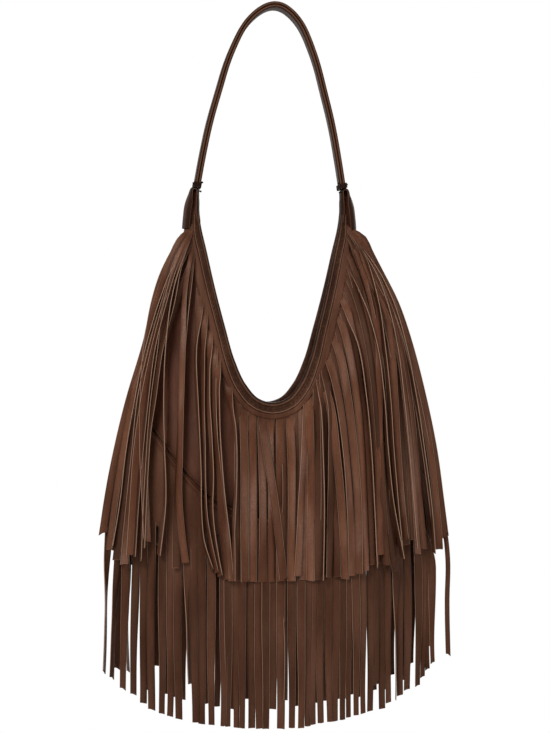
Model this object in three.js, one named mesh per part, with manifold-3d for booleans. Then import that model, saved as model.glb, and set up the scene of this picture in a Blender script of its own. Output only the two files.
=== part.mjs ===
// A fringed leather shoulder bag, hanging from the crown of its strap.
// Millimetres, +Z up, front towards -Y. The origin is the underside of the strap's crown.
// A drop is a distance below the origin, and a reach is a distance from the middle plane X = 0.

import * as THREE from "three";
import { mergeVertices } from "three/addons/utils/BufferGeometryUtils.js";
import Module from "manifold-3d";

const wasm = await Module();
wasm.setup();

// Driving dimensions of the strap
const strapDrop = 164;
const strapSpan = 132.6;
const strapWidth = 24;
const strapPly = 2.1;
const crownShift = 5;

// Driving dimensions of the pouch
const peakDrop = 170;
const peakWidth = 6.6;
const mouthSpan = 128.8;
const mouthDrop = 356;
const widestDrop = 440;
const pouchWidth = 274;
const pouchDrop = 498;
const roundingDrop = 400;
const fullness = 36;
const leather = 1.6;
const lining = 0.8;

// Driving dimensions of the trim
const bindingWidth = 9.5;
const bindingPly = 1.4;
const bindingTopDrop = 198;
const tabWidth = 22;
const tabLeather = 1.8;
const tabOuterDrop = 197;
const tabInnerDrop = 192;
const bindingInnerWidth = 6;
const lashingThickness = 1.6;
const lashingHeight = 6;
const lashingRise = 1;

// Driving dimensions of the fringe
const fringeLeather = 1;
const bandLeather = 1.6;
const bandWidth = 6;
const bandTopDrop = 206;
const stripWidth = 7.2;
const upperStrips = 42;
const upperSpread = 157;
const upperHemDrop = 518;
const lowerStrips = 38;
const lowerSpread = 150;
const lowerHemDrop = 650;
const lowerHemRise = 58;
const seamReach = 117;
const seamTopDrop = 357;
const seamLowDrop = 461;
const cutDrop = 474;
const cutRise = 16;
const layerStep = 1.7;
const lift = 3.4;

// Clearance between pieces that touch, and between leather sheets that lie on each other
const clearance = 0.3;
const ease = 0.7;

// Shapes without a size: shares of the way across and of the way down
const neckShape = [
  [1, 0],
  [0.997, 0.08],
  [0.97, 0.156],
  [0.9, 0.268],
  [0.79, 0.445],
  [0.65, 0.64],
  [0.525, 0.797],
  [0.371, 0.914],
  [0.2, 0.98],
];
const sideShape = [
  [0, 0],
  [0.044, 0.058],
  [0.1, 0.074],
  [0.167, 0.136],
  [0.278, 0.258],
  [0.48, 0.47],
  [0.667, 0.68],
  [0.85, 0.894],
  [1, 1],
  [1.2, 1.04],
];
const fullnessShape = [
  [0, 0.22],
  [0.1, 0.27],
  [0.28, 0.38],
  [0.48, 0.52],
  [0.69, 0.69],
  [0.85, 0.86],
  [1, 1],
  [1.2, 1.05],
];
const outlineShape = [
  [0, 0.49],
  [0.08, 0.59],
  [0.15, 0.66],
  [0.24, 0.72],
  [0.35, 0.77],
  [0.48, 0.83],
  [0.64, 0.91],
  [0.8, 0.965],
  [1, 1],
];
const strapShape = [
  [0.985, 1],
  [0.93, 0.9],
  [0.87, 0.775],
  [0.775, 0.62],
  [0.59, 0.345],
  [0.51, 0.235],
  [0.37, 0.13],
  [0.22, 0.052],
  [0.11, 0.014],
];

// Each lock is a strip of the upper fringe. It has its place in the row of strips, the place of its
// root along the band, its reach at five shares of its length as shares of the spread, and the rise
// of its foot above the hem.
const lockShares = [0.12, 0.3, 0.55, 0.8, 1];
const locks = [
  [0, 0, -0.636, -0.722, -0.843, -0.929, -0.986, 39],
  [0.05, 0.03, -0.608, -0.688, -0.785, -0.848, -0.894, 30],
  [0.12, 0.066, -0.55, -0.608, -0.665, -0.711, -0.74, 26],
  [0.19, 0.116, -0.493, -0.539, -0.556, -0.573, -0.585, 15],
  [0.25, 0.186, -0.441, -0.47, -0.482, -0.482, -0.464, 11],
  [0.305, 0.25, -0.384, -0.401, -0.384, -0.367, -0.332, 6],
  [0.35, 0.32, -0.321, -0.321, -0.298, -0.275, -0.246, 2],
  [0.39, 0.384, -0.241, -0.229, -0.218, -0.218, -0.206, 1],
  [0.46, 0.448, -0.143, -0.138, -0.132, -0.126, -0.12, 0],
  [0.52, 0.5, -0.034, -0.034, -0.034, -0.034, -0.034, 0],
  [0.572, 0.547, 0.09, 0.09, 0.09, 0.09, 0.09, 0],
  [0.625, 0.593, 0.195, 0.206, 0.218, 0.224, 0.224, 0],
  [0.68, 0.645, 0.275, 0.298, 0.315, 0.332, 0.344, 1],
  [0.745, 0.721, 0.338, 0.378, 0.407, 0.418, 0.43, 4],
  [0.81, 0.808, 0.396, 0.447, 0.482, 0.504, 0.527, 8],
  [0.865, 0.884, 0.447, 0.516, 0.562, 0.602, 0.636, 14],
  [0.915, 0.942, 0.504, 0.596, 0.654, 0.7, 0.745, 23],
  [0.96, 0.973, 0.55, 0.665, 0.768, 0.837, 0.883, 29],
  [1, 1, 0.602, 0.722, 0.86, 0.934, 0.992, 39],
];

const colours = {
  leather: 0x5a382b,
  edge: 0x4a2c22,
  lining: 0x3a2620,
  thread: 0x24160f,
};

// A smooth function through [place, value] pairs
function profile(shape) {
  const places = shape.map((pair) => pair[0]);
  const values = shape.map((pair) => pair[1]);
  const curve = new THREE.CubicInterpolant(places, values, 1, new Float32Array(1));
  return (at) => {
    const held = THREE.MathUtils.clamp(at, places[0], places[places.length - 1]);
    return curve.evaluate(held)[0];
  };
}

// The pouch: its half width, its depth from the middle plane, and its outline

const sideAt = profile(sideShape);
const fullnessAt = profile(fullnessShape);
const outlineAt = profile(outlineShape);
const peakOuter = mouthSpan / 2 + peakWidth;
const seamDepth = clearance / 2 + lining + clearance + leather;
const roundness = 3;

function downShare(drop) {
  return (drop - peakDrop) / (widestDrop - peakDrop);
}

function halfWidth(drop) {
  return THREE.MathUtils.lerp(peakOuter, pouchWidth / 2, sideAt(downShare(drop)));
}

function roundingShare(drop) {
  return Math.max(0, drop - roundingDrop) / (pouchDrop - roundingDrop);
}

// Distance of the pouch's outer face from the middle plane
function pouchDepth(x, drop) {
  const across = (Math.abs(x) / halfWidth(drop)) ** roundness;
  const left = Math.max(0, 1 - across - roundingShare(drop) ** roundness);
  return seamDepth + fullness * fullnessAt(downShare(drop)) * left;
}

// A sheet that lies on the pouch as far as its widest drop, and hangs plumb below it
function drapeDepth(x, drop) {
  return pouchDepth(x, Math.min(drop, widestDrop));
}

// The fringe hangs wider than the pouch at its sides
function fringeDepth(x, drop) {
  const hung = Math.min(drop, widestDrop);
  const reach = upperSpread * outlineAt((drop - peakDrop) / (upperHemDrop - peakDrop));
  const left = Math.max(0, 1 - (Math.abs(x) / reach) ** roundness);
  return seamDepth + fullness * fullnessAt(downShare(hung)) * left;
}

function mirroredCurve(half, middle) {
  const right = half.map((p) => new THREE.Vector3(-p.x, 0, p.z)).reverse();
  return new THREE.CatmullRomCurve3([...half, ...middle, ...right]);
}

// The edge of the mouth, from the left peak to the right peak
const neckHalf = neckShape.map(([across, down]) => {
  const drop = THREE.MathUtils.lerp(peakDrop, mouthDrop, down);
  return new THREE.Vector3((-mouthSpan / 2) * across, 0, -drop);
});
const neck = mirroredCurve(neckHalf, [new THREE.Vector3(0, 0, -mouthDrop)]);

// The sewn edge of the pouch, from the left peak round the bottom to the right peak
const sideStations = 9;
const cornerStations = 6;
const outlineHalf = [];
for (let i = 0; i < sideStations; i += 1) {
  const drop = THREE.MathUtils.lerp(peakDrop, roundingDrop, i / sideStations);
  outlineHalf.push(new THREE.Vector3(-halfWidth(drop), 0, -drop));
}
for (let i = 0; i < cornerStations; i += 1) {
  const angle = (Math.PI / 2) * (i / cornerStations);
  const share = Math.sin(angle) ** (2 / roundness);
  const drop = THREE.MathUtils.lerp(roundingDrop, pouchDrop, share);
  const reach = halfWidth(drop) * Math.cos(angle) ** (2 / roundness);
  outlineHalf.push(new THREE.Vector3(-reach, 0, -drop));
}
const outline = mirroredCurve(outlineHalf, [new THREE.Vector3(0, 0, -pouchDrop)]);

// A point beside the mouth: a share along its edge and a distance from it
function besideMouth(share, distance) {
  const point = neck.getPointAt(share);
  const tangent = neck.getTangentAt(share);
  return { x: point.x + tangent.z * distance, drop: -point.z + tangent.x * distance };
}

function mouthShareAt(drop) {
  let low = 0;
  let high = 0.5;
  for (let step = 0; step < 30; step += 1) {
    const middle = (low + high) / 2;
    if (-neck.getPointAt(middle).z < drop) low = middle;
    else high = middle;
  }
  return low;
}

// Building blocks

const crowding = 0.35;

// Stations lie closer together at the two ends and in the middle, where the bag bends most
function crowded(share) {
  const turn = 4 * Math.PI;
  return share - (crowding * Math.sin(turn * share)) / turn;
}

function signedVolume(geometry) {
  const flat = geometry.index ? geometry.toNonIndexed() : geometry;
  const at = flat.getAttribute("position");
  const corners = [0, 1, 2].map(() => new THREE.Vector3());
  let sum = 0;
  for (let i = 0; i < at.count; i += 3) {
    corners.forEach((corner, k) => corner.fromBufferAttribute(at, i + k));
    sum += corners[0].dot(corners[1].cross(corners[2]));
  }
  return sum / 6;
}

// A plain geometry moved point by point, welded, with its faces turned outwards
function bent(geometry, place) {
  const plain = geometry.clone();
  plain.deleteAttribute("normal");
  plain.deleteAttribute("uv");
  const at = plain.getAttribute("position");
  for (let i = 0; i < at.count; i += 1) {
    const moved = place(at.getX(i), at.getY(i), at.getZ(i));
    at.setXYZ(i, moved.x, moved.y, moved.z);
  }
  const welded = mergeVertices(plain, 1e-4);
  if (signedVolume(welded) < 0) {
    const order = welded.index.array;
    for (let i = 0; i < order.length; i += 3) {
      [order[i + 1], order[i + 2]] = [order[i + 2], order[i + 1]];
    }
  }
  return welded;
}

// A slab divided along, across and through, whose points are placed by three shares
function bentSlab(along, across, through, place) {
  const slab = new THREE.BoxGeometry(1, 1, 1, along, across, through);
  return bent(slab, (x, y, z) => place(x + 0.5, y + 0.5, z + 0.5));
}

function solidOf(geometry) {
  const vertProperties = new Float32Array(geometry.getAttribute("position").array);
  const triVerts = new Uint32Array(geometry.index.array);
  return new wasm.Manifold(new wasm.Mesh({ numProp: 3, vertProperties, triVerts }));
}

function joined(geometries) {
  const solid = geometries.map(solidOf).reduce((whole, next) => whole.add(next));
  const mesh = solid.getMesh();
  const result = new THREE.BufferGeometry();
  result.setAttribute("position", new THREE.BufferAttribute(mesh.vertProperties, 3));
  result.setIndex(new THREE.BufferAttribute(mesh.triVerts, 1));
  return result;
}

const bag = new THREE.Group();

function addPiece(name, geometry, color, roughness) {
  geometry.computeVertexNormals();
  const material = new THREE.MeshStandardMaterial({ color, roughness, metalness: 0 });
  const mesh = new THREE.Mesh(geometry, material);
  mesh.name = name;
  bag.add(mesh);
}

// The strap: two plies sewn flat to each other

const strapThickness = 2 * strapPly + clearance;

function strapSide(side, outerReach) {
  return strapShape.map(([across, down]) => {
    const reach = THREE.MathUtils.lerp(crownShift * side, outerReach, across);
    return new THREE.Vector3(side * reach, 0, strapThickness / 2 - strapDrop * down);
  });
}

const strapLeft = strapSide(-1, strapSpan / 2);
const strapRight = strapSide(1, strapSpan / 2).reverse();
const strapCrown = new THREE.Vector3(crownShift, 0, strapThickness / 2);
const strapPath = new THREE.CatmullRomCurve3([...strapLeft, strapCrown, ...strapRight]);

function onStrap(share, outward, sideways) {
  const point = strapPath.getPointAt(share);
  const tangent = strapPath.getTangentAt(share);
  const x = point.x - tangent.z * outward;
  const z = point.z + tangent.x * outward;
  return new THREE.Vector3(x, sideways, z);
}

const strapStations = 36;
function strapPlyGeometry(from, to) {
  return bentSlab(strapStations, 1, 1, (along, across, through) => {
    const outward = THREE.MathUtils.lerp(from, to, through);
    return onStrap(crowded(along), outward, (across - 0.5) * strapWidth);
  });
}

const faceGap = clearance / 2;
addPiece("strap_outer_ply", strapPlyGeometry(faceGap, faceGap + strapPly), colours.leather, 0.55);
addPiece("strap_inner_ply", strapPlyGeometry(-faceGap - strapPly, -faceGap), colours.leather, 0.55);

// The tabs: leather folded over each peak, one leg outside and one inside

const tabSeat = ease + tabLeather / 2;
const mouthSeat = Math.max(tabLeather, bindingPly) + ease;
const crownCentreDrop = strapDrop - strapThickness / 2 + tabLeather / 2 + ease;

function tabPath() {
  const outer = [0, 0.35, 0.7, 1].map((share) => {
    const drop = THREE.MathUtils.lerp(tabOuterDrop, peakDrop, share);
    return new THREE.Vector3(halfWidth(drop) + tabSeat, 0, -drop);
  });
  const crown = [0.75, 0.25].map((share) => {
    const reach = THREE.MathUtils.lerp(mouthSpan / 2, peakOuter, share);
    return new THREE.Vector3(reach, 0, -crownCentreDrop);
  });
  const inner = [0.15, 0.6, 1].map((share) => {
    const drop = THREE.MathUtils.lerp(peakDrop, tabInnerDrop, share);
    const beside = besideMouth(mouthShareAt(drop), tabLeather / 2);
    return new THREE.Vector3(-beside.x, 0, -drop);
  });
  return new THREE.CatmullRomCurve3([...outer, ...crown, ...inner], false, "centripetal");
}

const tabCurve = tabPath();
const tabStations = 16;
function tabGeometry(side) {
  return bentSlab(tabStations, 1, 1, (along, across, through) => {
    const point = tabCurve.getPointAt(along);
    const tangent = tabCurve.getTangentAt(along);
    const off = (through - 0.5) * tabLeather;
    const x = side * (point.x - tangent.z * off);
    return new THREE.Vector3(x, (across - 0.5) * tabWidth, point.z + tangent.x * off);
  });
}

addPiece("strap_tab_left", tabGeometry(-1), colours.leather, 0.55);
addPiece("strap_tab_right", tabGeometry(1), colours.leather, 0.55);

// The lashings: thread wound flat round each strap end

function roundedOutline(target, halfAcross, halfAlong, radius) {
  const x = halfAcross - radius;
  const y = halfAlong - radius;
  const quarter = Math.PI / 2;
  target.absarc(x, y, radius, 0, quarter);
  target.absarc(-x, y, radius, quarter, 2 * quarter);
  target.absarc(-x, -y, radius, 2 * quarter, 3 * quarter);
  target.absarc(x, -y, radius, 3 * quarter, 4 * quarter);
  target.closePath();
  return target;
}

function lashingGeometry(share, direction) {
  const halfAcross = strapThickness / 2 + clearance;
  const halfAlong = strapWidth / 2 + clearance;
  const wrap = lashingThickness;
  const ring = roundedOutline(new THREE.Shape(), halfAcross + wrap, halfAlong + wrap, wrap);
  ring.holes.push(roundedOutline(new THREE.Path(), halfAcross, halfAlong, clearance));
  const length = { depth: lashingHeight, bevelEnabled: false, curveSegments: 3 };
  const start = strapPath.getPointAt(share);
  const tangent = strapPath.getTangentAt(share).multiplyScalar(direction);
  return bent(new THREE.ExtrudeGeometry(ring, length), (outward, sideways, along) => {
    const up = along + lashingRise;
    const x = start.x + tangent.x * up - tangent.z * outward;
    return new THREE.Vector3(x, sideways, start.z + tangent.z * up + tangent.x * outward);
  });
}

addPiece("lashing_left", lashingGeometry(0, 1), colours.thread, 0.8);
addPiece("lashing_right", lashingGeometry(1, -1), colours.thread, 0.8);

// The pouch and its lining: two panels each, sewn together at the outline

const panelColumns = 24;
const panelRows = 4;

// A panel whose two faces lie at two distances inside the pouch's outer face
function panelGeometry(facing, firstInset, lastInset) {
  return bentSlab(panelColumns, panelRows, 1, (along, down, through) => {
    const share = crowded(along);
    const top = besideMouth(share, mouthSeat);
    const low = outline.getPointAt(share);
    const x = THREE.MathUtils.lerp(top.x, low.x, down);
    const drop = THREE.MathUtils.lerp(top.drop, -low.z, down);
    const inset = THREE.MathUtils.lerp(firstInset, lastInset, through);
    const depth = pouchDepth(x, drop) - inset;
    return new THREE.Vector3(x, facing * depth, -drop);
  });
}

// The binding: leather folded over the edge of each panel, one leg outside and one inside

const bindingStations = 26;
const panelStack = leather + clearance + lining;
const bindingStart = mouthShareAt(bindingTopDrop);

function bindingGeometry(facing) {
  const outer = ease + bindingPly;
  const inner = -panelStack - ease - bindingPly;
  const fold = new THREE.Shape();
  fold.moveTo(bindingWidth, ease);
  fold.lineTo(bindingWidth, outer);
  fold.lineTo(0, outer);
  fold.lineTo(0, inner);
  fold.lineTo(bindingInnerWidth, inner);
  fold.lineTo(bindingInnerWidth, inner + bindingPly);
  fold.lineTo(bindingPly, inner + bindingPly);
  fold.lineTo(bindingPly, ease);
  fold.closePath();
  const length = { depth: 1, steps: bindingStations, bevelEnabled: false };
  return bent(new THREE.ExtrudeGeometry(fold, length), (distance, rise, along) => {
    const share = THREE.MathUtils.lerp(bindingStart, 1 - bindingStart, crowded(along));
    const at = besideMouth(share, distance);
    return new THREE.Vector3(at.x, facing * (pouchDepth(at.x, at.drop) + rise), -at.drop);
  });
}

// The upper fringe: a band sewn under the binding, cut into strips that fan out to the sides

const bandStart = mouthShareAt(bandTopDrop);
const bandTop = bindingWidth + clearance;
const bandStations = 26;
const stationLength = 48;
const rootDepth = 2.2;
const rootSeat = ease + (bandLeather - fringeLeather) / 2;

function bandGeometry(facing) {
  return bentSlab(bandStations, 1, 1, (along, down, through) => {
    const share = THREE.MathUtils.lerp(bandStart, 1 - bandStart, crowded(along));
    const at = besideMouth(share, bandTop + bandWidth * down);
    const depth = pouchDepth(at.x, at.drop) + ease + bandLeather * through;
    return new THREE.Vector3(at.x, facing * depth, -at.drop);
  });
}

// The values of the strip at a place in the row, worked out between the two nearest locks
function lockAt(place) {
  const next = Math.max(1, locks.findIndex((lock) => lock[0] >= place));
  const before = locks[next - 1];
  const after = locks[next];
  const mix = (place - before[0]) / (after[0] - before[0]);
  const [, root, ...rest] = before.map((value, i) => THREE.MathUtils.lerp(value, after[i], mix));
  const rise = rest.pop();
  const share = THREE.MathUtils.lerp(bandStart, 1 - bandStart, root);
  return { share, reaches: rest, foot: upperHemDrop - rise };
}

function upperStripGeometry(facing, index) {
  const halfPlace = 0.5 / upperStrips;
  const place = halfPlace * (2 * index + 1);
  const lock = lockAt(place);
  const spacing = lockAt(place + halfPlace).share - lockAt(place - halfPlace).share;
  const root = besideMouth(lock.share, bandTop + bandWidth - rootDepth);
  const points = [new THREE.Vector3(root.x, 0, -root.drop)];
  lock.reaches.forEach((reach, k) => {
    const drop = THREE.MathUtils.lerp(root.drop, lock.foot, lockShares[k]);
    points.push(new THREE.Vector3(reach * upperSpread, 0, -drop));
  });
  const path = new THREE.CatmullRomCurve3(points, false, "centripetal");
  const layer = layerStep * (index % 3);
  const edge = neck.getTangentAt(lock.share);
  const leave = path.getTangentAt(0);
  const crossing = Math.abs(edge.x * leave.z - edge.z * leave.x);
  const room = spacing * neck.getLength() * crossing - clearance;
  const rootWidth = Math.min(stripWidth, room);
  const stations = Math.max(3, Math.round(path.getLength() / stationLength));
  return bentSlab(stations, 1, 1, (along, across, through) => {
    const point = path.getPointAt(along);
    const tangent = path.getTangentAt(along);
    const eased = THREE.MathUtils.smoothstep(along, 0.05, 0.3);
    const width = THREE.MathUtils.lerp(rootWidth, stripWidth, eased);
    const off = (across - 0.5) * width;
    const x = point.x - tangent.z * off;
    const drop = -(point.z + tangent.x * off);
    const lying = pouchDepth(x, drop) + rootSeat;
    const hanging = fringeDepth(x, drop) + lift + layer;
    const depth = THREE.MathUtils.lerp(lying, hanging, eased) + fringeLeather * through;
    return new THREE.Vector3(x, facing * depth, -drop);
  });
}

function upperFringeGeometry(facing) {
  const pieces = [bandGeometry(facing)];
  for (let index = 0; index < upperStrips; index += 1) {
    pieces.push(upperStripGeometry(facing, index));
  }
  return joined(pieces);
}

// The lower fringe: a sheet sewn on along a curved seam, cut into strips that hang plumb

const sheetColumns = 18;
const sheetRows = 3;
const cutReach = pouchWidth / 2 - 1;
const seamPower = 2.6;

function seamDrop(share) {
  return seamLowDrop - (seamLowDrop - seamTopDrop) * Math.abs(2 * share - 1) ** seamPower;
}

function cutDropAt(share) {
  return cutDrop - cutRise * (2 * share - 1) ** 2;
}

function sheetGeometry(facing) {
  return bentSlab(sheetColumns, sheetRows, 1, (along, down, through) => {
    const across = 2 * along - 1;
    const x = across * THREE.MathUtils.lerp(seamReach, cutReach, down);
    const drop = THREE.MathUtils.lerp(seamDrop(along), cutDropAt(along), down);
    const depth = drapeDepth(x, drop) + ease + bandLeather * through;
    return new THREE.Vector3(x, facing * depth, -drop);
  });
}

function lowerStripGeometry(facing, index) {
  const along = (index + 0.5) / lowerStrips;
  const across = 2 * along - 1;
  const top = across * cutReach;
  const foot = across * lowerSpread;
  const start = cutDropAt(along) - rootDepth;
  const end = lowerHemDrop - lowerHemRise * Math.abs(across) ** 3.5;
  const width = (2 * cutReach) / lowerStrips - clearance;
  return bentSlab(1, 1, 1, (down, side, through) => {
    const middle = THREE.MathUtils.lerp(top, foot, down);
    const x = middle + (side - 0.5) * width;
    const drop = THREE.MathUtils.lerp(start, end, down);
    const hung = drapeDepth(top + (side - 0.5) * width, drop);
    return new THREE.Vector3(x, facing * (hung + rootSeat + fringeLeather * through), -drop);
  });
}

function lowerFringeGeometry(facing) {
  const pieces = [sheetGeometry(facing)];
  for (let index = 0; index < lowerStrips; index += 1) {
    pieces.push(lowerStripGeometry(facing, index));
  }
  return joined(pieces);
}

// Front and back are alike

const sides = [
  ["front", -1],
  ["back", 1],
];
const liningInset = leather + clearance;
for (const [side, facing] of sides) {
  const pouch = panelGeometry(facing, 0, leather);
  const inside = panelGeometry(facing, liningInset + lining, liningInset);
  addPiece("pouch_" + side, pouch, colours.leather, 0.55);
  addPiece("lining_" + side, inside, colours.lining, 0.9);
  addPiece("binding_" + side, bindingGeometry(facing), colours.edge, 0.5);
  addPiece("fringe_upper_" + side, upperFringeGeometry(facing), colours.leather, 0.6);
  addPiece("fringe_lower_" + side, lowerFringeGeometry(facing), colours.leather, 0.6);
}

export default bag;
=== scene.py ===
"""A fringed leather shoulder bag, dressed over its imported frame.

Lengths are metres. A place on the bag is (across, drop): across is measured to the right
of the middle, and drop downwards from the strap's crown. A stand is the distance from the
middle plane, towards the front (facing -1) or the back (facing 1).
"""
import math

import bmesh
import bpy
import numpy as np
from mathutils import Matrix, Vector


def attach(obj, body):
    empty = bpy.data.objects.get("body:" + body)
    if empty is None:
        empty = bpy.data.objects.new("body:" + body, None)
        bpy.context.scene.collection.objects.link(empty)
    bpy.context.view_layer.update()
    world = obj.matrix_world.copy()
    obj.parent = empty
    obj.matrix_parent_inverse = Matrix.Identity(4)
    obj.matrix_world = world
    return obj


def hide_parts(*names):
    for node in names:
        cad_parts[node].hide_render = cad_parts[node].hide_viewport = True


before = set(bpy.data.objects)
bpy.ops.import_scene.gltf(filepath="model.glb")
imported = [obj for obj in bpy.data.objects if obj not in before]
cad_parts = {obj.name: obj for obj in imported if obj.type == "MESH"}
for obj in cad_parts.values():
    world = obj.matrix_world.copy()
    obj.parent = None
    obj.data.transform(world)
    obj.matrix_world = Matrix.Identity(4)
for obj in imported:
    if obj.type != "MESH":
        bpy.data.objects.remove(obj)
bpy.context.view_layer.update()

FRONT = -1
BACK = 1
SEED = 7

# The camera. The photograph is 550 by 733 pixels, and a pixel is 0.9 mm on the middle plane.
PHOTO_CENTRE = (275.0, 366.5)
PHOTO_HEIGHT = 733
PHOTO_STEP = 0.0009
DISTANCE = 1.95
AZIMUTH = math.radians(-6)
AIM = np.array((0.00495, 0.0, -0.32355))
VIEW = np.array((-math.sin(AZIMUTH), math.cos(AZIMUTH), 0.0))
RIGHT = np.array((math.cos(AZIMUTH), math.sin(AZIMUTH), 0.0))
UP = np.array((0.0, 0.0, 1.0))
EYE = AIM - VIEW * DISTANCE
SENSOR = 36.0

# The strap
STRAP_DROP = 0.164
STRAP_SPAN = 0.1326
STRAP_WIDTH = 0.024
STRAP_PLY = 0.0028
CROWN_SHIFT = 0.005
STRAP_SHAPE = (
    (0.99, 1), (0.931, 0.858), (0.822, 0.638), (0.713, 0.474), (0.6, 0.311),
    (0.493, 0.202), (0.409, 0.129), (0.311, 0.076), (0.207, 0.037), (0.1, 0.009),
)
STRAP_RISE = 0.0021
# The strap turns a little in its right half, in degrees
STRAP_TWIST = -3.5
THREAD = 0.0006

# The pouch
PEAK_DROP = 0.170
PEAK_WIDTH = 0.0066
MOUTH_SPAN = 0.1288
MOUTH_DROP = 0.356
WIDEST_DROP = 0.440
POUCH_WIDTH = 0.274
POUCH_DROP = 0.498
ROUNDING_DROP = 0.400
FULLNESS = 0.036
LEATHER = 0.0016
LINING = 0.0008
CLEARANCE = 0.0003
EASE = 0.0007
ROUNDNESS = 3
# A panel as cut: its width, its height, and its area once the neckline is taken out
NECK_SHAPE = (
    (1, 0), (0.997, 0.08), (0.97, 0.156), (0.9, 0.268), (0.79, 0.445), (0.65, 0.64),
    (0.525, 0.797), (0.371, 0.914), (0.2, 0.98),
)
SIDE_SHAPE = (
    (0, 0), (0.044, 0.058), (0.1, 0.074), (0.167, 0.136), (0.278, 0.258), (0.48, 0.47),
    (0.667, 0.68), (0.85, 0.894), (1, 1), (1.2, 1.04),
)
FULLNESS_SHAPE = (
    (0, 0.22), (0.1, 0.27), (0.28, 0.38), (0.48, 0.52), (0.69, 0.69), (0.85, 0.86),
    (1, 1), (1.2, 1.05),
)

# The binding of the mouth and the tabs over the peaks
BINDING_WIDTH = 0.0095
BINDING_INNER_WIDTH = 0.006
BINDING_PLY = 0.0014
BINDING_TOP_DROP = 0.187
TAB_WIDTH = 0.022
TAB_LEATHER = 0.0018
TAB_OUTER_DROP = 0.2
TAB_INNER_DROP = 0.194
TAB_INNER_SEAT = -0.0002
TAB_TONE = 0.25

# The fringes
BAND_LEATHER = 0.0016
BAND_WIDTH = 0.0042
BAND_TOP_DROP = 0.195
STRIP_LEATHER = 0.001
STRIP_WIDTH = 0.0072
UPPER_SPREAD = 0.157
UPPER_HEM_DROP = 0.518
OUTLINE_SHAPE = (
    (0, 0.49), (0.08, 0.59), (0.15, 0.66), (0.24, 0.72), (0.35, 0.77), (0.48, 0.83),
    (0.64, 0.91), (0.8, 0.965), (1, 1),
)
SEAM_REACH = 0.117
SEAM_TOP_DROP = 0.356
SEAM_LOW_DROP = 0.459
SEAM_POWER = 2.0
CUT_REACH = POUCH_WIDTH / 2 - 0.001
CUT_DROP = 0.474
CUT_RISE = 0.016

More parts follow.
